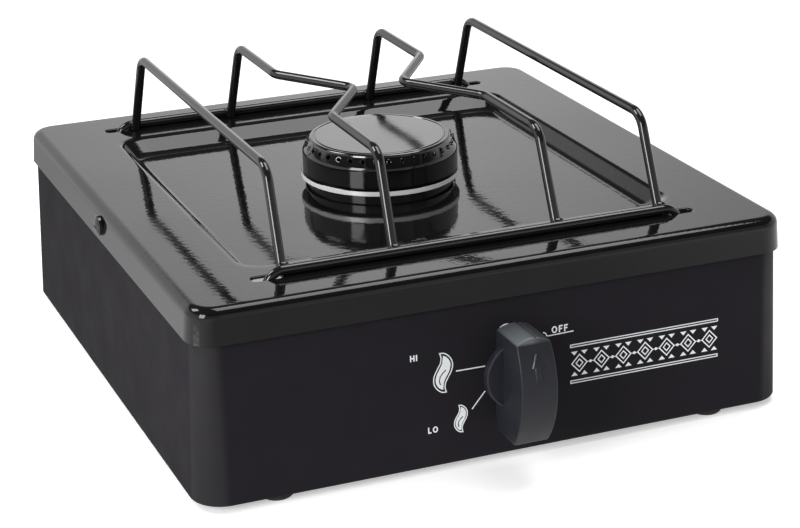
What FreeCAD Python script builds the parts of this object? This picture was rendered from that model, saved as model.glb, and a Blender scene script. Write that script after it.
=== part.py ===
"""Single-burner tabletop gas stove, built as separate pieces.

The frame has +Z up, +Y to the rear and its origin on the table, under the middle of the stove.
Lengths are millimetres. The control knob is on the front, at -Y.
"""

import FreeCAD
import Part
import Sketcher
import math
import os
import re

Vector = FreeCAD.Vector
Rotation = FreeCAD.Rotation
Placement = FreeCAD.Placement

# Driving sizes: name, value, what it is
SIZES = [
    ("sheet", 0.8, "thickness of the steel sheet of housing and cooktop"),
    ("plate", 1.5, "thickness of the brackets"),
    ("running", 0.05, "radial play of a turning fit"),
    ("play", 0.15, "play of a sliding or locating fit"),
    ("screw_play", 0.4, "radial play of a screw in a sheet hole"),
    ("foot_height", 3.0, "what a foot stands out below the housing"),
    ("foot_radius", 8.0, "radius of a foot"),
    ("foot_neck", 3.0, "radius of the foot's neck in its hole"),
    ("foot_head", 4.6, "radius of the foot's head above the flange"),
    ("foot_inset", 10.0, "from the housing's outline to a foot's centre, front to rear"),
    ("foot_side", 40.0, "from the housing's outline to a foot's centre, side to side"),
    ("foot_rounding", 1.0, "bevel round a foot's sole"),
    ("foot_taper", 0.5, "how far a foot narrows towards the housing"),
    ("foot_plug", 3.0, "height of the foot's head above the flange"),
    ("housing_width", 306.0, "width of the housing at its bottom edge"),
    ("housing_depth", 316.0, "depth of the housing at its bottom edge"),
    ("housing_height", 95.2, "height of the housing"),
    ("housing_corner", 16.0, "radius of the housing's upright corners at the bottom"),
    ("housing_flare", 3.5, "how far each wall leans out from top to bottom"),
    ("housing_rim", 6.0, "bend radius at the housing's top"),
    ("panel_hole", 6.0, "radius of the front panel's hole round the stem"),
    ("bottom_flange", 30.0, "width of the bottom flange"),
    ("top_flange", 16.0, "width of the top flange"),
    ("lip_height", 17.0, "height of the cooktop's lip"),
    ("lip_flare", 1.2, "how far the lip leans out"),
    ("lip_gap", 1.1, "gap between lip and housing"),
    ("lid_corner", 14.0, "radius of the lip's corners"),
    ("lid_rim", 5.0, "rounding of the cooktop's top edge"),
    ("well_side", 39.7, "from the housing's outline to the sunk well, at each side"),
    ("well_front", 46.25, "from the housing's outline to the sunk well, front and rear"),
    ("well_corner", 15.0, "corner radius of the well"),
    ("well_sink", 7.5, "how far the well's floor lies below the deck"),
    ("well_slope", 7.5, "how far the well's wall runs inward"),
    ("well_fillet", 5.0, "rounding at the well's floor"),
    ("well_brink", 4.0, "rounding at the well's upper edge"),
    ("wire_radius", 2.4, "radius of the grate's wire"),
    ("wire_lift", 0.05, "gap under the rails"),
    ("weld", 0.6, "depth of the weld between an upright and a rail"),
    ("rail_inset", 31.0, "from the housing's outline to each rail"),
    ("rail_side", 46.0, "from the housing's outline to the rails' bent ends"),
    ("rail_drop", 11.0, "how far the rails' ends reach down"),
    ("rail_bend", 5.0, "bend radius of the rails' ends"),
    ("slot_reach", 7.0, "from the bent end to the slot's outer end"),
    ("slot_play", 0.5, "play beside the wire in its slot"),
    ("grate_height", 45.3, "from the deck to the middle of the top wires"),
    ("corner_inset", 23.0, "from a rail to the top corners of the wires"),
    ("outer_inset", 10.0, "from the rails' bent ends to the outer wires"),
    ("inner_x", 41.5, "from the middle to the inner wires"),
    ("inner_bend_y", 42.6, "from the middle to the bends of the inner wires"),
    ("inner_apex_x", 12.85, "from the middle to the tip of the inner wires' bend"),
    ("wire_splay", 0.8, "how far the uprights lean sideways"),
    ("wire_bend", 6.0, "bend radius of the grate's wires"),
    ("apex_bend", 5.0, "bend radius at the inner wires' tip"),
    ("burner_lift", 8.5, "from the well's floor to the burner's rim"),
    ("cap_radius", 40.55, "outer radius of the burner cap"),
    ("cap_top_radius", 36.1, "radius of the cap's flat top"),
    ("cap_skirt", 11.0, "height of the cap's upright skirt"),
    ("cap_chamfer", 7.0, "height of the cap's sloping band"),
    ("cap_wall", 3.2, "wall of the cap"),
    ("cap_spigot", 6.0, "how far the cap's spigot reaches down"),
    ("cap_web", 2.0, "thickness of the cap's web between skirt and spigot"),
    ("port_radius", 1.1, "radius of a flame port"),
    ("port_count", 36.0, "number of flame ports"),
    ("port_turn", 5.4, "from the X axis round to the first flame port, in degrees"),
    ("rim_radius", 41.5, "outer radius of the cup's machined rim"),
    ("rim_height", 2.8, "height of the cup's rim"),
    ("cup_radius", 38.0, "outer radius of the cup"),
    ("cup_wall", 3.0, "wall of the cup"),
    ("cup_depth", 28.0, "from the cup's rim to its underside"),
    ("hub_radius", 14.0, "outer radius of the cup's hub"),
    ("hub_length", 4.5, "how far the hub reaches below the cup"),
    ("tube_radius", 10.0, "outer radius of the mixing tube"),
    ("tube_wall", 1.5, "wall of the mixing tube"),
    ("tube_bend", 18.0, "bend radius of the mixing tube"),
    ("mouth_radius", 13.0, "outer radius of the mixing tube's mouth"),
    ("mouth_length", 16.0, "length of the mixing tube's wide mouth"),
    ("window_radius", 2.6, "radius of an air window"),
    ("window_circle", 8.6, "from the axis to an air window"),
    ("window_count", 3.0, "number of air windows"),
    ("shutter_wall", 1.0, "wall of the air shutter"),
    ("shutter_length", 9.0, "length of the air shutter"),
    ("strap_width", 30.0, "width of the burner's strap"),
    ("strap_margin", 11.8, "from the strap's ends to the well's sloping wall"),
    ("strap_foot", 14.0, "length of the strap's welded ends"),
    ("strap_screw", 24.0, "from the middle to the strap's screws"),
    ("valve_drop", 22.7, "from the cup's underside down to the knob's and the valve's axis"),
    ("panel_gap", 4.0, "from the front panel to the valve's nose"),
    ("nose_radius", 8.0, "radius of the valve cover's nose"),
    ("nose_length", 3.0, "length of the valve cover's nose"),
    ("cover_thickness", 3.0, "thickness of the valve cover's flange"),
    ("cover_width", 48.0, "width of the valve cover's flange"),
    ("cover_height", 20.0, "height of the valve cover's flange"),
    ("cover_screw", 18.0, "from the axis to the cover's screws"),
    ("chamber_radius", 7.2, "radius of the spring's chamber"),
    ("chamber_length", 6.5, "length of the chamber inside the valve body"),
    ("barrel_radius", 12.0, "outer radius of the valve body"),
    ("plug_front_radius", 7.0, "bore radius at the plug's front"),
    ("plug_rear_radius", 6.0, "bore radius at the plug's rear"),
    ("plug_length", 24.0, "length of the tapered plug"),
    ("barrel_end", 4.0, "solid rear end of the valve body"),
    ("gas_radius", 1.8, "radius of the gas ways in the valve"),
    ("port_boss", 6.0, "radius of the valve's side port"),
    ("port_reach", 22.0, "from the axis to the end of the side port"),
    ("stem_radius", 4.0, "radius of the stem"),
    ("stem_flat", 1.0, "depth of the flat on the stem"),
    ("collar_radius", 6.2, "radius of the stem's collar"),
    ("collar_length", 1.5, "length of the stem's collar"),
    ("tongue_width", 7.0, "width of the stem's tongue"),
    ("tongue_thickness", 3.0, "thickness of the stem's tongue"),
    ("tongue_grip", 4.0, "how far the tongue reaches into the plug"),
    ("press_travel", 3.0, "how far the knob is pressed in"),
    ("spring_radius", 5.4, "mean radius of the stem's spring"),
    ("spring_wire", 0.45, "radius of the spring's wire"),
    ("spring_turns", 4.0, "turns of the spring"),
    ("nozzle_radius", 4.0, "radius of the injector's nozzle"),
    ("nozzle_length", 5.5, "length of the injector's nozzle"),
    ("injector_hex", 6.0, "length of the injector's hexagon"),
    ("injector_corner", 7.4, "corner radius of the injector's hexagon"),
    ("jet_length", 1.5, "length of the injector's jet"),
    ("injector_gap", 1.0, "from the hexagon to the air shutter"),
    ("jet_radius", 0.5, "radius of the injector's jet"),
    ("knob_back", 8.2, "from the front panel to the bar's back"),
    ("knob_front", 37.6, "from the front panel to the bar's crown"),
    ("crown_radius", 42.6, "radius of the bar's crowned face"),
    ("crown_middle", -2.8, "from the axis up to the crown's foremost line"),
    ("crown_clear", 2.0, "how far the crown's cut reaches beyond the face"),
    ("knob_up", 21.0, "from the axis to the bar's upper corners"),
    ("knob_down", 29.8, "from the axis to the bar's bottom"),
    ("end_arch", 2.2, "how far the bar's upper end rises between its corners"),
    ("knob_end", 8.6, "half width of the bar at its ends"),
    ("knob_waist", 9.1, "half width of the bar in its middle"),
    ("knob_rounding", 0.8, "rounding of the bar's edges"),
    ("disc_radius", 17.2, "radius of the knob's disc"),
    ("disc_back", 12.6, "from the front panel to the disc's back"),
    ("disc_front", 16.6, "from the front panel to the disc's face"),
    ("disc_chamfer", 0.8, "chamfer of the disc"),
    ("disc_undercut", 3.0, "width of the disc's flat back"),
    ("boss_radius", 8.5, "radius of the boss at the knob's back"),
    ("boss_back", 6.0, "from the front panel to the boss's end"),
    ("knob_bore", 20.0, "depth of the knob's bore"),
    ("clip_thickness", 0.6, "thickness of the knob's spring clip"),
    ("clip_width", 3.2, "width of the knob's spring clip"),
    ("clip_start", 1.0, "from the boss's end to the spring clip"),
    ("clip_short", 4.0, "how much shorter the spring clip is than the bore"),
    ("arrow_depth", 0.5, "how far the arrow stands out of the knob"),
    ("arrow_tip", 17.0, "from the axis to the arrow's tip"),
    ("arrow_head", 6.0, "length of the arrow's head"),
    ("arrow_tail", 4.5, "from the axis to the arrow's tail"),
    ("arrow_barb", 2.7, "half width of the arrow's head"),
    ("arrow_shaft", 1.5, "half width of the arrow's shaft"),
    ("pipe_radius", 4.0, "outer radius of the supply pipe"),
    ("pipe_wall", 1.0, "wall of the supply pipe"),
    ("pipe_bend", 18.0, "bend radius of the supply pipe"),
    ("foot_clear", 1.4, "from the inlet's bracket to the head of the foot beside it"),
    ("inlet_radius", 7.9, "radius of the inlet's free end"),
    ("inlet_neck", 8.4, "radius of the inlet's neck in its bracket and locknut"),
    ("inlet_step", 1.0, "from the rear panel to the end of the neck"),
    ("inlet_reach", 16.0, "how far the inlet stands out at the rear"),
    ("inlet_hex", 4.0, "thickness of the inlet's hexagon"),
    ("inlet_corner", 11.4, "corner radius of the inlet's hexagon and locknut"),
    ("inlet_clear", 1.5, "play round the inlet in the rear panel"),
    ("inlet_gap", 8.5, "from the rear panel to the inlet's bracket"),
    ("locknut_length", 4.5, "thickness of the inlet's locknut"),
    ("nut_radius", 8.5, "corner radius of the pipe nuts"),
    ("nut_length", 16.0, "length of the pipe nuts"),
    ("nut_grip", 8.0, "how far a pipe nut grips its fitting"),
    ("bracket_width", 60.0, "width of the valve's bracket"),
    ("inlet_bracket_width", 34.0, "width of the inlet's bracket"),
    ("bracket_foot", 15.0, "length of the brackets' feet"),
    ("bracket_top", 14.0, "from the axis to the brackets' top"),
    ("bracket_screw_x", 14.0, "from a bracket's middle to its foot screws"),
    ("screw_radius", 2.0, "radius of the screws"),
    ("screw_head", 3.8, "radius of the small pan heads"),
    ("screw_head_height", 2.2, "height of the small pan heads"),
    ("screw_end", 3.0, "how far the bracket screws stand out inside"),
    ("head_rounding", 0.6, "share of a pan head's height that is rounded"),
    ("drive_width", 0.25, "width of a screw's slot, as a share of the head's radius"),
    ("drive_floor", 0.55, "floor of a screw's slot, as a share of the head's height"),
    ("side_head", 5.2, "radius of the side screws' heads"),
    ("side_head_height", 3.0, "height of the side screws' heads"),
    ("side_screw_drop", 8.6, "from the deck down to the side screws"),
    ("clip_side", 12.0, "side of the side screws' clip nuts"),
    ("clip_depth", 3.0, "depth of the side screws' clip nuts"),
    ("clip_bevel", 2.3, "how far the clip nuts fall away from the housing's bend"),
]

# Sizes that follow from the driving ones
DERIVED = {
    "base_z": "foot_height",
    "deck_z": "(base_z + housing_height + sheet)",
    "lip_z": "(deck_z - lip_height)",
    "lip_spread": "(housing_flare * (1 - (lip_z - base_z) / housing_height))",
    "lid_width": "(housing_width - 2 * housing_flare + 2 * (lip_spread + lip_gap + sheet))",
    "lid_depth": "(housing_depth - 2 * housing_flare + 2 * (lip_spread + lip_gap + sheet))",
    "floor_z": "(deck_z - well_sink)",
    "side_z": "(deck_z - side_screw_drop)",
    "clip_flat": "(base_z + housing_height - housing_rim - side_z)",
    "lip_x": "(lid_width / 2 - lip_flare * (side_z - lip_z) / lip_height)",
    "well_width": "(housing_width - 2 * well_side)",
    "well_depth": "(housing_depth - 2 * well_front)",
    "rail_x": "(housing_width / 2 - rail_side)",
    "rail_y": "(housing_depth / 2 - rail_inset)",
    "outer_x": "(rail_x - outer_inset)",
    "grate_y": "(rail_y - corner_inset)",
    "rail_z": "(deck_z + wire_lift + wire_radius)",
    "upright_y": "(rail_y - 2 * wire_radius + weld)",
    "grate_z": "(deck_z + grate_height)",
    "seat_z": "(floor_z + burner_lift)",
    "cup_z": "(seat_z - cup_depth)",
    "spigot_radius": "(cup_radius - cup_wall - play)",
    "cap_z": "(seat_z + cap_skirt + cap_chamfer)",
    "valve_height": "(cup_z - valve_drop)",
    "strap_reach": "(well_width / 2 - well_slope - strap_margin - strap_foot)",
    "foot_x": "(housing_width / 2 - foot_side)",
    "foot_y": "(housing_depth / 2 - foot_inset)",
    "inlet_x": "(foot_x - foot_head - foot_clear - inlet_bracket_width / 2)",
    "panel_y": "(housing_depth / 2 - housing_flare * (valve_height - base_z) / housing_height)",
    "cover_front": "(panel_gap + nose_length)",
    "bracket_front": "(cover_front + cover_thickness)",
    "body_front": "(bracket_front + plate)",
    "plug_front": "(body_front + chamber_length)",
    "plug_rear": "(plug_front + plug_length)",
    "valve_rear": "(plug_rear + barrel_end)",
    "shutter_front": "(valve_rear + injector_hex + injector_gap)",
    "mouth_front": "(shutter_front + shutter_wall)",
    "collar_front": "(cover_front + running)",
    "collar_rear": "(collar_front + collar_length)",
    "tongue_rear": "(plug_front + tongue_grip)",
    "socket_rear": "(tongue_rear + press_travel + 1)",
    "port_depth": "((plug_front + plug_rear) / 2)",
    "port_y": "(port_depth - panel_y)",
    "stem_front": "(boss_back + knob_bore - play)",
    "inlet_seat": "(inlet_gap + plate)",
    "inlet_inner": "(inlet_seat + inlet_hex + nut_grip)",
    "strap_z": "cup_z",
    "bracket_y": "(panel_y - body_front - bracket_foot / 2)",
    "inlet_foot_y": "(panel_y - inlet_seat - bracket_foot / 2)",
}

document = FreeCAD.newDocument("stove")
sheet = document.addObject("Spreadsheet::Sheet", "sizes")
sheet.Label = "sizes"
pieces = {}


def fill_sheet():
    """Write each driving size into its own named cell."""
    for row, (alias, number, meaning) in enumerate(SIZES, start=1):
        sheet.set(f"A{row}", alias)
        sheet.set(f"B{row}", str(number))
        sheet.set(f"C{row}", meaning)
        sheet.setAlias(f"B{row}", alias)
    document.recompute()


ALIASES = {alias for alias, number, meaning in SIZES}


def bound(text):
    """An expression on the sheet's cells, from one written with plain size names."""

    def replace(match):
        word = match.group(0)
        if word in DERIVED:
            return bound(DERIVED[word])
        return f"sizes.{word}" if word in ALIASES else word

    return re.sub(r"[a-z][a-z_]*", replace, text)


def value(text):
    """The number that an expression gives with the sheet's present cells."""
    return float(sheet.evalExpression(bound(text)))


# Sketches


def new_body(name):
    body = document.addObject("PartDesign::Body", name)
    body.Label = name
    pieces[name] = body
    return body


def sketch_on(body, role, offset="0"):
    """A sketch on one of the body's own origin planes, moved along the plane's normal."""
    sketch = body.newObject("Sketcher::SketchObject", f"{body.Name}_outline")
    origin_plane = [item for item in body.Origin.OriginFeatures if item.Role == role][0]
    sketch.AttachmentSupport = [(origin_plane, "")]
    sketch.MapMode = "FlatFace"
    sketch.setExpression("AttachmentOffset.Base.z", bound(offset))
    return sketch


def dimension(sketch, kind, *references, size):
    index = sketch.addConstraint(Sketcher.Constraint(kind, *references, value(size)))
    sketch.setExpression(f"Constraints[{index}]", bound(size))


def place_point(sketch, geometry, point, across, up):
    """Tie a point of the sketch to its two distances from the sketch's origin."""
    dimension(sketch, "DistanceX", -1, 1, geometry, point, size=across)
    dimension(sketch, "DistanceY", -1, 1, geometry, point, size=up)


def polygon(sketch, corners):
    start = sketch.GeometryCount
    spots = [Vector(value(across), value(up), 0) for across, up in corners]
    count = len(spots)
    for k in range(count):
        sketch.addGeometry(Part.LineSegment(spots[k], spots[(k + 1) % count]), False)
    for k in range(count):
        following = start + (k + 1) % count
        sketch.addConstraint(Sketcher.Constraint("Coincident", start + k, 2, following, 1))
    for k, (across, up) in enumerate(corners):
        place_point(sketch, start + k, 1, across, up)


def circle(sketch, radius, across="0", up="0"):
    index = sketch.GeometryCount
    center = Vector(value(across), value(up), 0)
    sketch.addGeometry(Part.Circle(center, Vector(0, 0, 1), value(radius)), False)
    place_point(sketch, index, 3, across, up)
    dimension(sketch, "Radius", index, size=radius)


def rounded_rectangle(sketch, width, depth, corner):
    """A rectangle about the sketch's origin with four equal round corners."""
    start = sketch.GeometryCount
    x = value(width) / 2
    y = value(depth) / 2
    r = value(corner)
    for k in range(4):
        turn = Rotation(Vector(0, 0, 1), 90 * k)
        along, across = (x, y) if k % 2 == 0 else (y, x)
        first = turn.multVec(Vector(r - along, -across, 0))
        last = turn.multVec(Vector(along - r, -across, 0))
        sketch.addGeometry(Part.LineSegment(first, last), False)
    for k, (side, rear) in enumerate(((1, -1), (1, 1), (-1, 1), (-1, -1))):
        round_end = Part.Circle(Vector(side * (x - r), rear * (y - r), 0), Vector(0, 0, 1), r)
        first = math.radians(90 * (k - 1))
        sketch.addGeometry(Part.ArcOfCircle(round_end, first, first + math.pi / 2), False)
    rules = []
    for k in range(4):
        rules.append(Sketcher.Constraint("Tangent", start + k, 2, start + 4 + k, 1))
        rules.append(Sketcher.Constraint("Tangent", start + 4 + k, 2, start + (k + 1) % 4, 1))
    for k in range(3):
        rules.append(Sketcher.Constraint("Equal", start + 4, start + 5 + k))
    rules.append(Sketcher.Constraint("Symmetric", start, 1, start, 2, -2))
    rules.append(Sketcher.Constraint("Symmetric", start + 1, 1, start + 1, 2, -1))
    sketch.addConstraint(rules)
    dimension(sketch, "DistanceX", start + 3, 2, start + 1, 1, size=width)
    dimension(sketch, "DistanceY", start, 1, start + 2, 2, size=depth)
    dimension(sketch, "Radius", start + 4, size=corner)


def slot(sketch, radius, near, far, up):
    """A straight slot along X with round ends, from the end centre near to the end centre far."""
    start = sketch.GeometryCount
    first = Vector(value(near), value(up), 0)
    last = Vector(value(far), value(up), 0)
    r = value(radius)
    rise = Vector(0, r, 0)
    half = math.pi / 2
    sketch.addGeometry(Part.LineSegment(first - rise, last - rise), False)
    sketch.addGeometry(Part.ArcOfCircle(Part.Circle(last, Vector(0, 0, 1), r), -half, half), False)
    sketch.addGeometry(Part.LineSegment(last + rise, first + rise), False)
    sketch.addGeometry(Part.ArcOfCircle(Part.Circle(first, Vector(0, 0, 1), r), half, 3 * half), False)
    for k in range(4):
        sketch.addConstraint(Sketcher.Constraint("Tangent", start + k, 2, start + (k + 1) % 4, 1))
    place_point(sketch, start + 3, 3, near, up)
    place_point(sketch, start + 1, 3, far, up)
    dimension(sketch, "Radius", start + 1, size=radius)


# Features


def feature(body, kind, **links):
    """A feature on the body's tip. Its links are objects, its sizes expressions."""
    made = body.newObject(f"PartDesign::{kind}", f"{body.Name}_{kind.lower()}")
    for name, link in links.items():
        if isinstance(link, str):
            made.setExpression(name, bound(link))
        else:
            setattr(made, name, link)
    return made


def pad(body, sketch, length, **more):
    made = feature(body, "Pad", Profile=sketch, Length=length, **more)
    document.recompute()
    return made


def pocket(body, sketch, length, **more):
    """Cut the sketch's outline out of the body, and make sure that it takes something away."""
    before = body.Shape.Volume
    made = feature(body, "Pocket", Profile=sketch, Length=length, **more)
    document.recompute()
    if made.Shape.Volume > before - 1e-6:
        raise ValueError(f"a pocket of {body.Label} cuts nothing")
    return made


def turned(body, corners):
    """A solid of revolution about the body's Z axis. A corner is its radius and its height."""
    profile = sketch_on(body, "XZ_Plane")
    polygon(profile, corners)
    made = feature(body, "Revolution", Profile=profile, ReferenceAxis=(profile, ["V_Axis"]))
    made.Angle = 360
    document.recompute()
    return made


def dressed(body, kind, base, names, **sizes):
    """A fillet, chamfer or draft on named edges or faces of the base feature."""
    made = feature(body, kind, Base=(base, names), **sizes)
    document.recompute()
    return made


def edges_where(shape, test):
    return [f"Edge{k}" for k, edge in enumerate(shape.Edges, start=1) if test(edge.BoundBox)]


def faces_where(shape, test):
    return [f"Face{k}" for k, face in enumerate(shape.Faces, start=1) if test(face.BoundBox)]


def around(body, made, count):
    """Repeat a cut evenly about the body's Z axis."""
    axis = [item for item in body.Origin.OriginFeatures if item.Role == "Z_Axis"][0]
    pattern = feature(body, "PolarPattern", Originals=[made], Axis=(axis, [""]), Occurrences=count)
    pattern.Angle = 360
    body.Tip = pattern
    document.recompute()
    return pattern


FACING_FRONT = Rotation(Vector(1, 0, 0), 90)
FACING_REAR = Rotation(Vector(1, 0, 0), -90)


def place(piece, x="0", y="0", z="0", rotation=Rotation()):
    """Set the piece's Placement, tied to the sizes."""
    piece.Placement = Placement(Vector(value(x), value(y), value(z)), rotation)
    for axis, text in (("x", x), ("y", y), ("z", z)):
        piece.setExpression(f"Placement.Base.{axis}", bound(text))


def place_at_knob(body):
    """The body's Z axis becomes the knob's axis, with its origin in the front panel's face."""
    place(body, y="-panel_y", z="valve_height", rotation=FACING_FRONT)


def knob_placement():
    """The same place for a piece whose shape is worked out."""
    return Placement(Vector(0, -value("panel_y"), value("valve_height")), FACING_FRONT)


def place_at_inlet(body):
    """The body's Z axis becomes the inlet's axis, with its origin in the rear panel's face."""
    place(body, x="inlet_x", y="panel_y", z="valve_height", rotation=FACING_REAR)


def hexagon(radius, low, high, bore):
    """A hexagonal nut about Z with its corners on the radius."""
    angles = [k * math.pi / 3 for k in range(7)]
    corners = [Vector(radius * math.cos(angle), radius * math.sin(angle), low) for angle in angles]
    solid = Part.Face(Part.makePolygon(corners)).extrude(Vector(0, 0, high - low))
    return solid.cut(Part.makeCylinder(bore, high - low, Vector(0, 0, low)))


def shaped(name, shape, position=Placement()):
    """A piece whose shape is worked out from the sheet's sizes."""
    piece = document.addObject("Part::Feature", name)
    piece.Label = name
    piece.Shape = shape
    piece.Placement = position
    pieces[name] = piece
    return piece


# Housing


def make_housing():
    """The deep-drawn case with flared walls, a top flange under the deck and a bottom flange."""
    body = new_body("housing")
    outline = sketch_on(body, "XY_Plane", "base_z")
    rounded_rectangle(outline, "housing_width", "housing_depth", "housing_corner")
    block = pad(body, outline, "housing_height")
    low = value("base_z")
    high = value("base_z + housing_height")
    sides = faces_where(block.Shape, lambda box: box.ZLength > 1)
    bottom = faces_where(block.Shape, lambda box: box.ZMax < low + 0.01)
    lean = dressed(body, "Draft", block, sides, Angle="atan(housing_flare / housing_height)")
    lean.NeutralPlane = (block, bottom)
    document.recompute()
    top_edges = edges_where(lean.Shape, lambda box: box.ZMin > high - 0.01)
    rounded = dressed(body, "Fillet", lean, top_edges, Radius="housing_rim")
    bottom = faces_where(rounded.Shape, lambda box: box.ZMax < low + 0.01)
    shell = feature(body, "Thickness", Base=(rounded, bottom), Value="sheet")
    shell.Reversed = True
    document.recompute()
    ring = sketch_on(body, "XY_Plane", "base_z")
    rounded_rectangle(ring, "housing_width - sheet", "housing_depth - sheet", "housing_corner - sheet / 2")
    inset = "2 * bottom_flange"
    rounded_rectangle(ring, f"housing_width - {inset}", f"housing_depth - {inset}", "housing_corner")
    pad(body, ring, "sheet")
    opening = sketch_on(body, "XY_Plane", "base_z + housing_height")
    inset = "2 * (housing_flare + top_flange)"
    rounded_rectangle(opening, f"housing_width - {inset}", f"housing_depth - {inset}", "housing_corner")
    pocket(body, opening, "2 * sheet")
    front = sketch_on(body, "XZ_Plane", "housing_depth / 2")
    circle(front, "panel_hole", up="valve_height")
    pocket(body, front, "housing_flare + 2 * sheet")
    rear = sketch_on(body, "XZ_Plane", "-housing_depth / 2")
    circle(rear, "inlet_neck + inlet_clear", "inlet_x", "valve_height")
    pocket(body, rear, "housing_flare + 2 * sheet", Reversed=True)
    for side in (1, -1):
        screw_hole = sketch_on(body, "YZ_Plane", f"{side} * housing_width / 2")
        circle(screw_hole, "screw_radius + screw_play", up="side_z")
        pocket(body, screw_hole, "housing_flare + 2 * sheet", Reversed=side < 0)
    underside = sketch_on(body, "XY_Plane", "base_z")
    for x, y in foot_places():
        circle(underside, "foot_neck", x, y)
    for x, y in bracket_screw_places():
        circle(underside, "screw_radius + screw_play", x, y)
    pocket(body, underside, "2 * sheet", Reversed=True)


def foot_places():
    return [("-foot_x", "-foot_y"), ("foot_x", "-foot_y"), ("-foot_x", "foot_y"), ("foot_x", "foot_y")]


def bracket_screw_places():
    """The four screws that hold the valve's and the inlet's bracket to the bottom flange."""
    at_valve = [("-bracket_screw_x", "-bracket_y"), ("bracket_screw_x", "-bracket_y")]
    at_inlet = [(f"(inlet_x {sign} bracket_screw_x)", "inlet_foot_y") for sign in "-+"]
    return at_valve + at_inlet


def make_feet():
    """Four rubber feet, each pushed through the bottom flange."""
    names = ("front_left_foot", "front_right_foot", "rear_left_foot", "rear_right_foot")
    for name, (x, y) in zip(names, foot_places()):
        body = new_body(name)
        corners = [
            ("0", "0"),
            ("foot_radius - foot_rounding", "0"),
            ("foot_radius", "foot_rounding"),
            ("foot_radius - foot_taper", "foot_height"),
            ("foot_neck", "foot_height"),
            ("foot_neck", "foot_height + sheet"),
            ("foot_head", "foot_height + sheet"),
            ("foot_neck", "foot_height + sheet + foot_plug"),
            ("0", "foot_height + sheet + foot_plug"),
        ]
        turned(body, corners)
        place(body, x, y)


# Cooktop


def make_cooktop():
    """The pressed lid: a lip all round, a flat deck, a sunk well, and holes."""
    body = new_body("cooktop")
    outline = sketch_on(body, "XY_Plane", "lip_z")
    rounded_rectangle(outline, "lid_width", "lid_depth", "lid_corner")
    block = pad(body, outline, "lip_height")
    low = value("lip_z")
    high = value("deck_z")
    floor = value("floor_z")
    sides = faces_where(block.Shape, lambda box: box.ZLength > 1)
    bottom = faces_where(block.Shape, lambda box: box.ZMax < low + 0.01)
    lean = dressed(body, "Draft", block, sides, Angle="atan(lip_flare / lip_height)")
    lean.NeutralPlane = (block, bottom)
    document.recompute()
    rim_edges = edges_where(lean.Shape, lambda box: box.ZMin > high - 0.01)
    rounded = dressed(body, "Fillet", lean, rim_edges, Radius="lid_rim")
    well = sketch_on(body, "XY_Plane", "deck_z")
    rounded_rectangle(well, "well_width", "well_depth", "well_corner")
    sunk = pocket(body, well, "well_sink", TaperAngle="-atan(well_slope / well_sink)")
    floor_edges = edges_where(sunk.Shape, lambda box: abs(box.ZMin - floor) + abs(box.ZMax - floor) < 0.01)
    soft_floor = dressed(body, "Fillet", sunk, floor_edges, Radius="well_fillet")
    reach = value("well_width / 2 + 0.01")

    def at_brink(box):
        return box.ZMin > high - 0.01 and box.XMax < reach and box.XMin > -reach

    brink = edges_where(soft_floor.Shape, at_brink)
    soft_brink = dressed(body, "Fillet", soft_floor, brink, Radius="well_brink")
    bottom = faces_where(soft_brink.Shape, lambda box: box.ZMax < low + 0.01)
    shell = feature(body, "Thickness", Base=(soft_brink, bottom), Value="sheet")
    shell.Reversed = True
    document.recompute()
    burner_hole = sketch_on(body, "XY_Plane", "floor_z")
    circle(burner_hole, "cup_radius + 2 * screw_play")
    pocket(body, burner_hole, "2 * sheet")
    slots = sketch_on(body, "XY_Plane", "deck_z")
    radius = "(wire_radius + slot_play)"
    outer = f"(rail_x + slot_reach - {radius})"
    inner = "(rail_x - rail_bend)"
    for up in ("-rail_y", "rail_y"):
        slot(slots, radius, inner, outer, up)
        slot(slots, radius, f"-{outer}", f"-{inner}", up)
    pocket(body, slots, "2 * sheet")
    for side in (1, -1):
        screw_hole = sketch_on(body, "YZ_Plane", f"{side} * lid_width / 2")
        circle(screw_hole, "screw_radius + screw_play", up="side_z")
        pocket(body, screw_hole, "lip_flare + 2 * sheet", Reversed=side < 0)


def pan_screw(head_radius, head_height, length):
    """A slotted pan-head screw about Z. Its head's underside is at 0 and its shank points down."""
    shank = Part.makeCylinder(value("screw_radius"), length, Vector(0, 0, -length))
    head = Part.makeCylinder(head_radius, head_height)
    rim = edges_where(head, lambda box: box.ZMin > head_height - 0.01)
    rounding = head_height * value("head_rounding")
    head = head.makeFillet(rounding, [head.Edges[int(name[4:]) - 1] for name in rim])
    slot_width = head_radius * value("drive_width")
    slot_length = 3 * head_radius
    corner = Vector(-slot_length / 2, -slot_width / 2, head_height * value("drive_floor"))
    drive = Part.makeBox(slot_length, slot_width, head_height, corner)
    return shank.fuse(head).cut(drive).removeSplitter()


def copies(shape, positions):
    """One piece made of the shape repeated at each position."""
    return Part.Compound([shape.transformed(position.toMatrix()) for position in positions])


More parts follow.
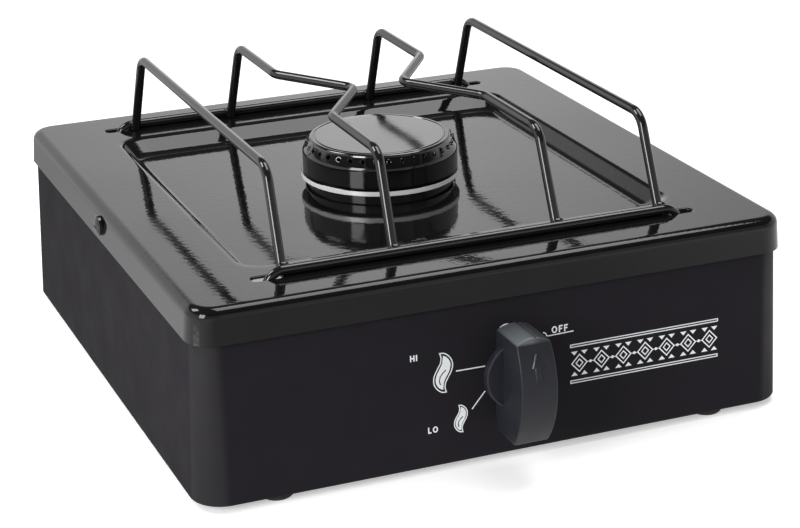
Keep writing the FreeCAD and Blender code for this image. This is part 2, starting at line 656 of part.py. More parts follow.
def make_cooktop_fasteners():
    """A screw through the lip on each side, and the clip nut behind the housing's wall."""
    length = value("lip_gap + 2 * sheet + clip_depth + 2 * screw_radius")
    screw = pan_screw(value("side_head"), value("side_head_height"), length)
    lean = math.degrees(math.atan(value("lip_flare / lip_height")))
    wall_lean = math.degrees(math.atan(value("housing_flare / housing_height")))
    wall_x = value("housing_width / 2 - housing_flare * (side_z - base_z) / housing_height - sheet")
    side = value("clip_side")
    depth = value("clip_depth")
    flat = value("clip_flat")
    bevel = value("clip_bevel")
    upper = [(-side / 2, -bevel), (-flat, 0), (flat, 0), (side / 2, -bevel)]
    corners = upper + [(side / 2, -depth), (-side / 2, -depth)]
    profile = Part.makePolygon([Vector(x, -side / 2, z) for x, z in corners + corners[:1]])
    clip = Part.Face(profile).extrude(Vector(0, side, 0))
    thread = Part.makeCylinder(value("screw_radius + running"), 2 * length, Vector(0, 0, -2 * length))
    screws = []
    clips = []
    for sign in (1, -1):
        outward = Rotation(Vector(0, 1, 0), sign * (90 - lean))
        along_wall = Rotation(Vector(0, 1, 0), sign * (90 - wall_lean))
        at_lip = Placement(Vector(sign * value("lip_x"), 0, value("side_z")), outward).toMatrix()
        at_wall = Placement(Vector(sign * wall_x, 0, value("side_z")), along_wall).toMatrix()
        screws.append(screw.transformed(at_lip))
        clips.append(clip.transformed(at_wall).cut(thread.transformed(at_lip)))
    shaped("cooktop_screws", Part.Compound(screws))
    shaped("cooktop_clips", Part.Compound(clips))


# Grate


def bent_path(points, radii):
    """Straight runs through the points, joined by tangent arcs of the given radii."""
    edges = []
    start = points[0]
    for before, corner, after, radius in zip(points, points[1:], points[2:], radii):
        back = (before - corner).normalize()
        ahead = (after - corner).normalize()
        half = back.getAngle(ahead) / 2
        middle = (back + ahead).normalize()
        first = corner + back * (radius / math.tan(half))
        last = corner + ahead * (radius / math.tan(half))
        top = corner + middle * (radius / math.sin(half) - radius)
        edges.append(Part.LineSegment(start, first).toShape())
        edges.append(Part.Arc(first, top, last).toShape())
        start = last
    edges.append(Part.LineSegment(start, points[-1]).toShape())
    return Part.Wire(edges)


def rod(path, radius):
    """A round wire along the path. Its volume is checked against section times length."""
    start = path.Edges[0]
    first = start.FirstParameter
    section = Part.Wire(Part.makeCircle(radius, start.valueAt(first), start.tangentAt(first)))
    solid = path.makePipeShell([section], True, False)
    expected = math.pi * radius**2 * path.Length
    if abs(solid.Volume - expected) > 0.01 * expected:
        raise ValueError("a wire's volume is not its section times its length")
    return solid


def make_grate():
    """Two rails on the deck and four bent wires across them."""
    radius = value("wire_radius")
    for name, sign in (("front_rail", -1), ("rear_rail", 1)):
        x = value("rail_x")
        y = sign * value("rail_y")
        z = value("rail_z")
        drop = value("rail_drop")
        points = [Vector(-x, y, z - drop), Vector(-x, y, z), Vector(x, y, z), Vector(x, y, z - drop)]
        shaped(name, rod(bent_path(points, [value("rail_bend")] * 2), radius))
    foot_z = value("rail_z - wire_radius / 2")
    foot_y = value("upright_y")
    top_y = value("grate_y")
    top_z = value("grate_z")
    bend = value("wire_bend")
    for side, sign in (("left", -1), ("right", 1)):
        x = sign * value("outer_x")
        foot_x = x + sign * value("wire_splay")
        points = [
            Vector(foot_x, -foot_y, foot_z),
            Vector(x, -top_y, top_z),
            Vector(x, top_y, top_z),
            Vector(foot_x, foot_y, foot_z),
        ]
        shaped(f"{side}_outer_wire", rod(bent_path(points, [bend] * 2), radius))
        x = sign * value("inner_x")
        foot_x = x + sign * value("wire_splay")
        bend_y = value("inner_bend_y")
        apex = Vector(sign * value("inner_apex_x"), 0, top_z)
        points = [
            Vector(foot_x, -foot_y, foot_z),
            Vector(x, -top_y, top_z),
            Vector(x, -bend_y, top_z),
            apex,
            Vector(x, bend_y, top_z),
            Vector(x, top_y, top_z),
            Vector(foot_x, foot_y, foot_z),
        ]
        radii = [bend, bend, value("apex_bend"), bend, bend]
        shaped(f"{side}_inner_wire", rod(bent_path(points, radii), radius))


# Burner


def make_burner_cap():
    """The lift-off cap: skirt, sloping band with flame ports, flat top, and a spigot in the cup."""
    body = new_body("burner_cap")
    inner = "(cap_radius - cap_wall)"
    corners = [
        ("0", "cap_z - cap_wall"),
        ("cap_top_radius - cap_wall", "cap_z - cap_wall"),
        (inner, "seat_z + cap_skirt"),
        (inner, "seat_z + cap_web"),
        ("spigot_radius - cup_wall", "seat_z + cap_web"),
        ("spigot_radius - cup_wall", "seat_z - cap_spigot"),
        ("spigot_radius", "seat_z - cap_spigot"),
        ("spigot_radius", "seat_z"),
        ("cap_radius", "seat_z"),
        ("cap_radius", "seat_z + cap_skirt"),
        ("cap_top_radius", "cap_z"),
        ("0", "cap_z"),
    ]
    turned(body, corners)
    port = sketch_on(body, "YZ_Plane", "cap_radius + 1")
    circle(port, "port_radius", up="seat_z + cap_skirt + cap_chamfer / 2")
    depth = "cap_radius - cap_top_radius + 2 * cap_wall"
    around(body, pocket(body, port, depth), "port_count")
    body.Placement = Placement(Vector(), Rotation(Vector(0, 0, 1), value("port_turn")))
    body.setExpression("Placement.Rotation.Angle", bound("port_turn"))


def make_burner_cup():
    """The cast cup under the cap, with a machined rim and a hub for the mixing tube."""
    body = new_body("burner_cup")
    inner = "(cup_radius - cup_wall)"
    corners = [
        ("tube_radius - tube_wall", "cup_z + cup_wall"),
        (inner, "cup_z + cup_wall"),
        (inner, "seat_z"),
        ("rim_radius", "seat_z"),
        ("rim_radius", "seat_z - rim_height"),
        ("cup_radius", "seat_z - rim_height"),
        ("cup_radius", "cup_z"),
        ("hub_radius", "cup_z"),
        ("hub_radius", "cup_z - hub_length"),
        ("tube_radius + running", "cup_z - hub_length"),
        ("tube_radius + running", "cup_z"),
        ("tube_radius - tube_wall", "cup_z"),
    ]
    turned(body, corners)
    threads = sketch_on(body, "XY_Plane", "cup_z")
    circle(threads, "screw_radius + running", "strap_screw")
    circle(threads, "screw_radius + running", "-strap_screw")
    pocket(body, threads, "cup_wall", Reversed=True)


def make_burner_strap():
    """The bent strap under the cooktop that carries the cup, and its two screws."""
    body = new_body("burner_strap")
    side = sketch_on(body, "XZ_Plane")
    top = "(floor_z - sheet)"
    reach = "strap_reach"
    far = "(strap_reach + strap_foot)"
    corners = [
        (f"-{far}", top),
        (f"-{far}", f"{top} - plate"),
        (f"-{reach}", f"{top} - plate"),
        (f"-{reach}", "strap_z - plate"),
        (reach, "strap_z - plate"),
        (reach, f"{top} - plate"),
        (far, f"{top} - plate"),
        (far, top),
        (f"{reach} - plate", top),
        (f"{reach} - plate", "strap_z"),
        (f"-{reach} + plate", "strap_z"),
        (f"-{reach} + plate", top),
    ]
    polygon(side, corners)
    pad(body, side, "strap_width", Midplane=True)
    holes = sketch_on(body, "XY_Plane", "strap_z")
    circle(holes, "hub_radius + screw_play")
    circle(holes, "screw_radius + screw_play", "strap_screw")
    circle(holes, "screw_radius + screw_play", "-strap_screw")
    pocket(body, holes, "2 * plate")
    screw = pan_screw(value("screw_head"), value("screw_head_height"), value("plate + cup_wall"))
    upward = Rotation(Vector(1, 0, 0), 180)
    low = value("strap_z - plate")
    both = [Placement(Vector(sign * value("strap_screw"), 0, low), upward) for sign in (-1, 1)]
    shaped("burner_screws", copies(screw, both))


def bent_outline(sketch, near, bend, high):
    """The mixing tube's middle line: level from near, then a quarter bend up to high. Local X is Y."""
    turn = value(bend)
    level = value("valve_height")
    sketch.addGeometry(Part.LineSegment(Vector(value(near), level, 0), Vector(-turn, level, 0)), False)
    center = Vector(-turn, level + turn, 0)
    sketch.addGeometry(Part.ArcOfCircle(Part.Circle(center, Vector(0, 0, 1), turn), -math.pi / 2, 0), False)
    sketch.addGeometry(Part.LineSegment(Vector(0, level + turn, 0), Vector(0, value(high), 0)), False)
    sketch.addConstraint(Sketcher.Constraint("Tangent", 0, 2, 1, 1))
    sketch.addConstraint(Sketcher.Constraint("Tangent", 1, 2, 2, 1))
    sketch.addConstraint(Sketcher.Constraint("Horizontal", 0))
    place_point(sketch, 0, 1, near, "valve_height")
    place_point(sketch, 2, 2, "0", high)
    dimension(sketch, "Radius", 1, size=bend)


def swept(body, kind, section, spine):
    made = feature(body, kind, Profile=section)
    made.Spine = (spine, [f"Edge{k + 1}" for k in range(spine.GeometryCount)])
    document.recompute()
    return made


def air_windows(sketch, up="0"):
    """The round air windows, evenly spaced about the axis, the first one straight up."""
    count = round(value("window_count"))
    for k in range(count):
        angle = 90 + 360 * k / count
        across = f"(window_circle * cos({angle}))"
        circle(sketch, "window_radius", across, f"({up} + window_circle * sin({angle}))")


def make_mixer_tube():
    """The bent mixing tube, with a wide mouth whose end plate has the air windows."""
    body = new_body("mixer_tube")
    mouth = "(mouth_front - panel_y)"
    spine = sketch_on(body, "YZ_Plane")
    bent_outline(spine, mouth, "tube_bend", "cup_z")
    section = sketch_on(body, "XZ_Plane", f"-{mouth}")
    circle(section, "tube_radius", up="valve_height")
    swept(body, "AdditivePipe", section, spine)
    wide = sketch_on(body, "XZ_Plane", f"-{mouth}")
    circle(wide, "mouth_radius", up="valve_height")
    pad(body, wide, "mouth_length", Reversed=True)
    hollow = sketch_on(body, "XZ_Plane", f"-{mouth}")
    circle(hollow, "tube_radius - tube_wall", up="valve_height")
    swept(body, "SubtractivePipe", hollow, spine)
    chamber = sketch_on(body, "XZ_Plane", f"-{mouth}")
    circle(chamber, "mouth_radius - tube_wall", up="valve_height")
    pocket(body, chamber, "mouth_length - tube_wall")
    end_plate = sketch_on(body, "XZ_Plane", f"-{mouth}")
    circle(end_plate, "mouth_radius", up="valve_height")
    circle(end_plate, "nozzle_radius + screw_play", up="valve_height")
    air_windows(end_plate, "valve_height")
    pad(body, end_plate, "tube_wall", Reversed=True)


def make_air_shutter():
    """The cap that turns on the mixing tube's mouth, with air windows round the injector."""
    body = new_body("air_shutter")
    bore = "(mouth_radius + play)"
    outer = f"({bore} + shutter_wall)"
    corners = [
        ("nozzle_radius + screw_play", "-shutter_front"),
        (outer, "-shutter_front"),
        (outer, "-shutter_front - shutter_length"),
        (bore, "-shutter_front - shutter_length"),
        (bore, "-shutter_front - shutter_wall + running"),
        ("nozzle_radius + screw_play", "-shutter_front - shutter_wall + running"),
    ]
    turned(body, corners)
    windows = sketch_on(body, "XY_Plane", "-shutter_front")
    air_windows(windows)
    pocket(body, windows, "2 * shutter_wall")
    place_at_knob(body)


# Valve


def make_bracket(name, width, middle, seat, end):
    """An L-shaped bracket at the front (end -1) or the rear (end 1) that holds a fitting."""
    body = new_body(name)
    profile = sketch_on(body, "YZ_Plane", middle)
    outer = f"{end} * (panel_y - {seat} + plate)"
    inner = f"{end} * (panel_y - {seat})"
    toe = f"{end} * (panel_y - {seat} - bracket_foot)"
    low = "(base_z + sheet)"
    top = "(valve_height + bracket_top)"
    foot = [(outer, low), (toe, low), (toe, f"{low} + plate"), (inner, f"{low} + plate")]
    polygon(profile, foot + [(inner, top), (outer, top)])
    pad(body, profile, width, Midplane=True)
    return body


def make_brackets():
    front = make_bracket("valve_bracket", "bracket_width", "0", "body_front", "-1")
    holes = sketch_on(front, "XZ_Plane", "panel_y - bracket_front")
    circle(holes, "chamber_radius", up="valve_height")
    circle(holes, "screw_radius + screw_play", "cover_screw", "valve_height")
    circle(holes, "screw_radius + screw_play", "-cover_screw", "valve_height")
    pocket(front, holes, "plate")
    rear = make_bracket("inlet_bracket", "inlet_bracket_width", "inlet_x", "inlet_seat", "1")
    hole = sketch_on(rear, "XZ_Plane", "inlet_gap - panel_y")
    circle(hole, "inlet_neck + play", "inlet_x", "valve_height")
    pocket(rear, hole, "plate", Reversed=True)
    for body, spots in ((front, bracket_screw_places()[:2]), (rear, bracket_screw_places()[2:])):
        threads = sketch_on(body, "XY_Plane", "base_z + sheet")
        for x, y in spots:
            circle(threads, "screw_radius + running", x, y)
        pocket(body, threads, "plate", Reversed=True)
    length = value("sheet + plate + screw_end")
    screw = pan_screw(value("screw_head"), value("screw_head_height"), length)
    upward = Rotation(Vector(1, 0, 0), 180)
    spots = [Vector(value(x), value(y), value("base_z")) for x, y in bracket_screw_places()]
    shaped("bracket_screws", copies(screw, [Placement(spot, upward) for spot in spots]))


def make_valve_body():
    """The brass valve body with its tapered bore, spring chamber, side port and screw lugs."""
    body = new_body("valve_body")
    corners = [
        ("gas_radius", "-plug_rear"),
        ("plug_rear_radius", "-plug_rear"),
        ("plug_front_radius", "-plug_front"),
        ("chamber_radius", "-plug_front"),
        ("chamber_radius", "-body_front"),
        ("barrel_radius", "-body_front"),
        ("barrel_radius", "-valve_rear"),
        ("gas_radius", "-valve_rear"),
    ]
    turned(body, corners)
    lugs = sketch_on(body, "XY_Plane", "-body_front")
    rounded_rectangle(lugs, "cover_width", "cover_height", "cover_height / 2 - 1")
    circle(lugs, "chamber_radius + 1")
    circle(lugs, "screw_radius + running", "cover_screw")
    circle(lugs, "screw_radius + running", "-cover_screw")
    pad(body, lugs, "chamber_length", Reversed=True)
    boss = sketch_on(body, "YZ_Plane", "barrel_radius - 2")
    circle(boss, "port_boss", up="-port_depth")
    pad(body, boss, "port_reach - barrel_radius + 2")
    gas_way = sketch_on(body, "YZ_Plane", "port_reach")
    circle(gas_way, "gas_radius", up="-port_depth")
    pocket(body, gas_way, "port_reach - plug_rear_radius")
    place_at_knob(body)


def make_valve_cover():
    """The cover that closes the spring chamber and guides the stem, with its two screws."""
    body = new_body("valve_cover")
    flange = sketch_on(body, "XY_Plane", "-bracket_front")
    rounded_rectangle(flange, "cover_width", "cover_height", "cover_height / 2 - 1")
    circle(flange, "screw_radius + screw_play", "cover_screw")
    circle(flange, "screw_radius + screw_play", "-cover_screw")
    pad(body, flange, "cover_thickness")
    nose = sketch_on(body, "XY_Plane", "-cover_front")
    circle(nose, "nose_radius")
    pad(body, nose, "nose_length")
    guide = sketch_on(body, "XY_Plane", "-panel_gap")
    circle(guide, "stem_radius + play")
    pocket(body, guide, "nose_length + cover_thickness")
    chamber = sketch_on(body, "XY_Plane", "-bracket_front")
    circle(chamber, "chamber_radius")
    pocket(body, chamber, "cover_thickness", Reversed=True)
    place_at_knob(body)
    length = value("cover_thickness + plate + chamber_length")
    screw = pan_screw(value("screw_head"), value("screw_head_height"), length)
    spots = [Vector(sign * value("cover_screw"), 0, -value("cover_front")) for sign in (-1, 1)]
    screws = copies(screw, [Placement(spot, Rotation()) for spot in spots])
    shaped("valve_cover_screws", screws, knob_placement())


def make_valve_plug():
    """The tapered plug that turns in the body, with a slot for the stem and an L-shaped gas way."""
    body = new_body("valve_plug")
    rear = "(plug_rear - running)"
    corners = [
        ("0", f"-{rear}"),
        ("plug_rear_radius - running", f"-{rear}"),
        ("plug_front_radius - running", "-plug_front"),
        ("0", "-plug_front"),
    ]
    turned(body, corners)
    socket = sketch_on(body, "XY_Plane", "-plug_front")
    half_long = "(tongue_width / 2 + play)"
    half_thick = "(tongue_thickness / 2 + play)"
    corners = [
        (f"-{half_thick}", f"-{half_long}"),
        (half_thick, f"-{half_long}"),
        (half_thick, half_long),
        (f"-{half_thick}", half_long),
    ]
    polygon(socket, corners)
    pocket(body, socket, "socket_rear - plug_front")
    outlet = sketch_on(body, "XY_Plane", f"-{rear}")
    circle(outlet, "gas_radius")
    pocket(body, outlet, f"{rear} - port_depth", Reversed=True)
    cross_way = sketch_on(body, "XZ_Plane")
    circle(cross_way, "gas_radius", up="-port_depth")
    pocket(body, cross_way, "plug_front_radius")
    place_at_knob(body)


def make_valve_stem():
    """The stem: a flat for the knob, a collar behind the cover, and a tongue in the plug."""
    body = new_body("valve_stem")
    corners = [
        ("0", "-collar_rear"),
        ("collar_radius", "-collar_rear"),
        ("collar_radius", "-collar_front"),
        ("stem_radius", "-collar_front"),
        ("stem_radius", "stem_front"),
        ("0", "stem_front"),
    ]
    turned(body, corners)
    tongue = sketch_on(body, "XY_Plane", "-collar_rear")
    half_long = "(tongue_width / 2)"
    half_thick = "(tongue_thickness / 2)"
    corners = [
        (f"-{half_thick}", f"-{half_long}"),
        (half_thick, f"-{half_long}"),
        (half_thick, half_long),
        (f"-{half_thick}", half_long),
    ]
    polygon(tongue, corners)
    pad(body, tongue, "tongue_rear - collar_rear", Reversed=True)
    flat = sketch_on(body, "XY_Plane", "stem_front")
    corners = [
        ("-2 * stem_radius", "stem_radius - stem_flat"),
        ("2 * stem_radius", "stem_radius - stem_flat"),
        ("2 * stem_radius", "2 * stem_radius"),
        ("-2 * stem_radius", "2 * stem_radius"),
    ]
    polygon(flat, corners)
    pocket(body, flat, "stem_front - boss_back")
    place_at_knob(body)


def make_stem_spring():
    """The coil that pushes the stem out, between the plug and the collar."""
    wire = value("spring_wire")
    low = wire - value("plug_front")
    high = -value("collar_rear") - wire
    turns = value("spring_turns")
    radius = value("spring_radius")

    def at(turn):
        angle = 2 * math.pi * turn
        rise = (high - low) * turn / turns
        return Vector(radius * math.cos(angle), radius * math.sin(angle), low + rise)

    count = round(4 * turns)
    marks = [turns * k / count for k in range(count + 1)]
    arcs = [Part.Arc(at(a), at((a + b) / 2), at(b)) for a, b in zip(marks, marks[1:])]
    solid = rod(Part.Wire([arc.toShape() for arc in arcs]), wire)
    print("stem spring: gap between turns", round((high - low) / turns - 2 * wire, 2))
    shaped("stem_spring", solid, knob_placement())


def make_injector():
    """The brass injector: a hexagon screwed to the valve's rear and a nozzle with its jet."""
    rear = -value("valve_rear")
    shoulder = rear - value("injector_hex")
    tip = shoulder - value("injector_gap + nozzle_length")
    bore = value("jet_radius")
    head = hexagon(value("injector_corner"), shoulder, rear, value("gas_radius"))
    nozzle = Part.makeCylinder(value("nozzle_radius"), shoulder - tip, Vector(0, 0, tip))
    throat_end = tip + value("jet_length")
    throat = Part.makeCylinder(value("gas_radius"), shoulder - throat_end, Vector(0, 0, throat_end))
    jet = Part.makeCylinder(bore, shoulder - tip, Vector(0, 0, tip))
    solid = head.fuse(nozzle.cut(throat).cut(jet)).removeSplitter()
    shaped("injector", solid, knob_placement())


# Knob


def crown_cut(body, front):
    """What lies beyond the crowned face, whose foremost line is at front."""
    radius = value("crown_radius")
    middle = value("crown_middle")
    center = Vector(middle, value(front) - radius, 0)
    beyond = f"({front} + crown_clear)"
    far = value(beyond)
    high = value("knob_up + end_arch")
    low = -value("knob_down")
    first = math.acos((high - middle) / radius)
    last = math.acos((low - middle) / radius)
    top_end = Vector(high, center.y + radius * math.sin(first), 0)
    bottom_end = Vector(low, center.y + radius * math.sin(last), 0)
    crown = sketch_on(body, "YZ_Plane", "2 * knob_waist")
    face = Part.ArcOfCircle(Part.Circle(center, Vector(0, 0, 1), radius), first, last)
    crown.addGeometry(face, False)
    crown.addGeometry(Part.LineSegment(bottom_end, Vector(low, far, 0)), False)
    crown.addGeometry(Part.LineSegment(Vector(low, far, 0), Vector(high, far, 0)), False)
    crown.addGeometry(Part.LineSegment(Vector(high, far, 0), top_end), False)
    for k in range(4):
        crown.addConstraint(Sketcher.Constraint("Coincident", k, 2, (k + 1) % 4, 1))
    place_point(crown, 0, 3, "crown_middle", f"{front} - crown_radius")
    dimension(crown, "Radius", 0, size="crown_radius")
    dimension(crown, "DistanceX", -1, 1, 0, 1, size="knob_up + end_arch")
    dimension(crown, "DistanceX", -1, 1, 0, 2, size="-knob_down")
    place_point(crown, 1, 2, "-knob_down", beyond)
    place_point(crown, 2, 2, "knob_up + end_arch", beyond)
    return pocket(body, crown, "4 * knob_waist")


def bar_outline(body):
    """The bar from the front: an arched top, a straight foot, and sides that swell a little."""
    outline = sketch_on(body, "XY_Plane", "knob_back")
    high = value("knob_up")
    low = -value("knob_down")
    end = value("knob_end")
    waist = value("knob_waist")
    arch = value("end_arch")
    middle = (high + low) / 2
    right = Part.Arc(Vector(end, low, 0), Vector(waist, middle, 0), Vector(end, high, 0))
    left = Part.Arc(Vector(-end, high, 0), Vector(-waist, middle, 0), Vector(-end, low, 0))
    top = Part.Arc(Vector(end, high, 0), Vector(0, high + arch, 0), Vector(-end, high, 0))
    outline.addGeometry(Part.LineSegment(Vector(-end, low, 0), Vector(end, low, 0)), False)
    outline.addGeometry(right, False)
    outline.addGeometry(top, False)
    outline.addGeometry(left, False)
    for k in range(4):
        outline.addConstraint(Sketcher.Constraint("Coincident", k, 2, (k + 1) % 4, 1))
    place_point(outline, 0, 1, "-knob_end", "-knob_down")
    place_point(outline, 0, 2, "knob_end", "-knob_down")
    place_point(outline, 2, 1, "knob_end", "knob_up")
    place_point(outline, 2, 2, "-knob_end", "knob_up")
    swell = "(knob_waist - knob_end)"
    half = "((knob_up + knob_down) / 2)"
    side_radius = f"(({half} * {half} + {swell} * {swell}) / (2 * {swell}))"
    dimension(outline, "Radius", 1, size=side_radius)
    dimension(outline, "Radius", 3, size=side_radius)
    dimension(outline, "Radius", 2, size="(knob_end * knob_end + end_arch * end_arch) / (2 * end_arch)")
    return outline


def make_knob():
    """The bar-grip knob: a crowned bar across a disc, a boss with the stem's bore, and an arrow."""
    body = new_body("knob")
    pad(body, bar_outline(body), "knob_front - knob_back")
    crowned = crown_cut(body, "knob_front")
    back = value("knob_back")
    face_edges = edges_where(crowned.Shape, lambda box: box.ZMax > back + 0.01)
    dressed(body, "Fillet", crowned, face_edges, Radius="knob_rounding")
    arrow = sketch_on(body, "XY_Plane", "disc_front")
    neck = "(arrow_tip - arrow_head)"
    corners = [
        ("-arrow_shaft", "arrow_tail"),
        ("arrow_shaft", "arrow_tail"),
        ("arrow_shaft", neck),
        ("arrow_barb", neck),
        ("0", "arrow_tip"),
        ("-arrow_barb", neck),
        ("-arrow_shaft", neck),
    ]
    polygon(arrow, corners)
    pad(body, arrow, "knob_front + arrow_depth - disc_front")
    crown_cut(body, "(knob_front + arrow_depth)")
    round_part = sketch_on(body, "XZ_Plane")
    corners = [
        ("0", "boss_back"),
        ("boss_radius", "boss_back"),
        ("boss_radius", "knob_back"),
        ("disc_radius - disc_undercut", "disc_back"),
        ("disc_radius", "disc_back"),
        ("disc_radius", "disc_front - disc_chamfer"),
        ("disc_radius - disc_chamfer", "disc_front"),
        ("0", "disc_front"),
    ]
    polygon(round_part, corners)
    disc = feature(body, "Revolution", Profile=round_part, ReferenceAxis=(round_part, ["V_Axis"]))
    disc.Angle = 360
    document.recompute()
    bore = sketch_on(body, "XY_Plane", "boss_back")
    circle(bore, "stem_radius + running")
    pocket(body, bore, "knob_bore", Reversed=True)
    place_at_knob(body)


def make_knob_clip():
    """The flat spring in the knob's bore that grips the stem's flat."""
    low = value("boss_back + clip_start")
    length = value("knob_bore - clip_short")
    width = value("clip_width")
    floor = value("stem_radius - stem_flat")
    solid = Part.makeBox(width, value("clip_thickness"), length, Vector(-width / 2, floor, low))
    shaped("knob_clip", solid, knob_placement())


# Gas supply


def make_supply_pipe():
    """The bent pipe from the inlet at the rear to the valve's side port."""
    body = new_body("supply_pipe")
    rear = "(panel_y - inlet_inner)"
    spine = sketch_on(body, "XY_Plane", "valve_height")
    start = Vector(value("port_reach"), value("port_y"), 0)
    bend = value("pipe_bend")
    corner_x = value("inlet_x")
    before = Vector(corner_x - bend, start.y, 0)
    center = Vector(corner_x - bend, start.y + bend, 0)
    after = Vector(corner_x, start.y + bend, 0)
    spine.addGeometry(Part.LineSegment(start, before), False)
    spine.addGeometry(Part.ArcOfCircle(Part.Circle(center, Vector(0, 0, 1), bend), -math.pi / 2, 0), False)
    spine.addGeometry(Part.LineSegment(after, Vector(corner_x, value(rear), 0)), False)
    spine.addConstraint(Sketcher.Constraint("Tangent", 0, 2, 1, 1))
    spine.addConstraint(Sketcher.Constraint("Tangent", 1, 2, 2, 1))
    spine.addConstraint(Sketcher.Constraint("Horizontal", 0))
    place_point(spine, 0, 1, "port_reach", "port_y")
    place_point(spine, 2, 2, "inlet_x", rear)
    dimension(spine, "Radius", 1, size="pipe_bend")
    for radius, kind in (("pipe_radius", "AdditivePipe"), ("pipe_radius - pipe_wall", "SubtractivePipe")):
        section = sketch_on(body, "YZ_Plane", "port_reach")
        circle(section, radius, "port_y", "valve_height")
        swept(body, kind, section, spine)


def pipe_nut():
    """A flare nut about Z: it grips a fitting below 0 and closes round the pipe above 0."""
    grip = value("nut_grip")
    length = value("nut_length")
    outer = hexagon(value("nut_radius"), -grip, length - grip, value("pipe_radius + play"))
    return outer.cut(Part.makeCylinder(value("port_boss + running"), grip, Vector(0, 0, -grip)))


def make_pipe_nuts():
    to_right = Rotation(Vector(0, 1, 0), 90)
    at_port = Vector(value("port_reach"), value("port_y"), value("valve_height"))
    shaped("valve_pipe_nut", pipe_nut(), Placement(at_port, to_right))
    at_inlet = Vector(value("inlet_x"), value("panel_y - inlet_inner"), value("valve_height"))
    shaped("inlet_pipe_nut", pipe_nut(), Placement(at_inlet, FACING_FRONT))


def make_inlet():
    """The brass inlet with its hexagon behind the bracket, and its locknut in front of it."""
    inner = -value("inlet_inner")
    seat = -value("inlet_seat")
    shoulder = seat - value("inlet_hex")
    reach = value("inlet_reach")
    step = value("inlet_step")
    neck = Part.makeCylinder(value("inlet_neck"), step - seat, Vector(0, 0, seat))
    free_end = Part.makeCylinder(value("inlet_radius"), reach - step, Vector(0, 0, step))
    head = hexagon(value("inlet_corner"), shoulder, seat, value("pipe_radius - pipe_wall"))
    boss = Part.makeCylinder(value("port_boss"), shoulder - inner, Vector(0, 0, inner))
    bore = Part.makeCylinder(value("pipe_radius - pipe_wall"), reach - inner, Vector(0, 0, inner))
    solid = neck.fuse([free_end, head, boss]).cut(bore).removeSplitter()
    position = Placement(Vector(value("inlet_x"), value("panel_y"), value("valve_height")), FACING_REAR)
    shaped("inlet_fitting", solid, position)
    low = -value("inlet_gap")
    high = low + value("locknut_length")
    nut = hexagon(value("inlet_corner"), low, high, value("inlet_neck + running"))
    shaped("inlet_locknut", nut, position)


def check_and_write():
    """Stop on any failed object, then write one file for each piece."""
    document.recompute()
    for item in document.Objects:
        if "Invalid" in item.State or "Error" in item.State:
            raise ValueError(f"{item.Label} failed: {item.State}")
    for name, piece in pieces.items():
        if piece.Shape.isNull() or not piece.Shape.isValid():
            raise ValueError(f"{name} has no valid shape")
    os.makedirs("parts", exist_ok=True)
    for name, piece in pieces.items():
        piece.Shape.exportStep(f"parts/{name}.step")
        box = piece.Shape.BoundBox
        print(f"{name}: {len(piece.Shape.Solids)} solid, {piece.Shape.Volume:.0f} mm3,", end=" ")
        spans = [(box.XMin, box.XMax), (box.YMin, box.YMax), (box.ZMin, box.ZMax)]
        print(", ".join(f"{axis} {low:.1f} to {high:.1f}" for axis, (low, high) in zip("xyz", spans)))


fill_sheet()
make_housing()
make_feet()
make_cooktop()
make_cooktop_fasteners()
make_grate()
make_burner_cap()
make_burner_cup()
make_burner_strap()
make_mixer_tube()
make_air_shutter()
make_brackets()
make_valve_body()
make_valve_cover()
make_valve_plug()
make_valve_stem()
make_stem_spring()
make_injector()
make_knob()
make_knob_clip()
make_supply_pipe()
make_pipe_nuts()
make_inlet()
check_and_write()
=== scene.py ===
# %% [markdown]
# # A single-burner tabletop gas stove
#
# The stove is a pressed steel housing with an enamelled cooktop over it, a round burner in a
# shallow well, a wire grate and one bar-grip knob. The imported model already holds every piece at
# its real size and place. This lesson gives the visible pieces smooth, finished shapes and gives
# every piece a finish. Nothing is moved or resized, because a dressed piece sits exactly where
# the piece that it stands for sits.

import math

import bmesh
import bpy
from mathutils import Matrix, Vector
from mathutils.geometry import delaunay_2d_cdt


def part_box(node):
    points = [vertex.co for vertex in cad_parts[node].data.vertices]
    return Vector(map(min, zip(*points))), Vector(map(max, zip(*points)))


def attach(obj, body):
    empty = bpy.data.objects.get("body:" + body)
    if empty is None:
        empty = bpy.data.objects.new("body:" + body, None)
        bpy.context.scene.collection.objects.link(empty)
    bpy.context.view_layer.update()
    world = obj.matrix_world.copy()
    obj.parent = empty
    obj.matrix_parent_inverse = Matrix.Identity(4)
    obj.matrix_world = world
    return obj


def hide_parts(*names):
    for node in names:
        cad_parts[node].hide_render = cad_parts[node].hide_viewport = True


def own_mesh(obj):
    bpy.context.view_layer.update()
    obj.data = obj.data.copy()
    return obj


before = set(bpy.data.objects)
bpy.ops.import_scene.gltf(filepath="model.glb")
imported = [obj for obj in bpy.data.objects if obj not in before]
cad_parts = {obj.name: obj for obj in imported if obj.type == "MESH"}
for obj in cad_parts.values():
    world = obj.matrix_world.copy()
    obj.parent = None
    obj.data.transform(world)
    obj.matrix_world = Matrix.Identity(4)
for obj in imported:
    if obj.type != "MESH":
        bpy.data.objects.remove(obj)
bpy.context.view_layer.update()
MM = 0.001
print("nodes in the model:", len(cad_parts))

# %% [markdown]
# ## The camera
#
# A product photograph is taken from some way off with a long lens, so upright lines stay nearly
# parallel. The camera stands to the left of the stove's front and looks down by about twenty
# degrees. Its place was solved from the outlines of the stove in the photograph, so it is given
# by a point, three angles and the focal length in pixels of an 800 pixel wide picture.

# %% Place the camera
CAMERA_PLACE = (-0.39443, -1.01167, 0.45292)
CAMERA_TURN = math.radians(21.78867)
CAMERA_TILT = math.radians(20.58601)
CAMERA_ROLL = math.radians(-1.19289)
FOCAL_PIXELS = 2176.22
PICTURE_WIDTH = 800
SENSOR_WIDTH = 36.0


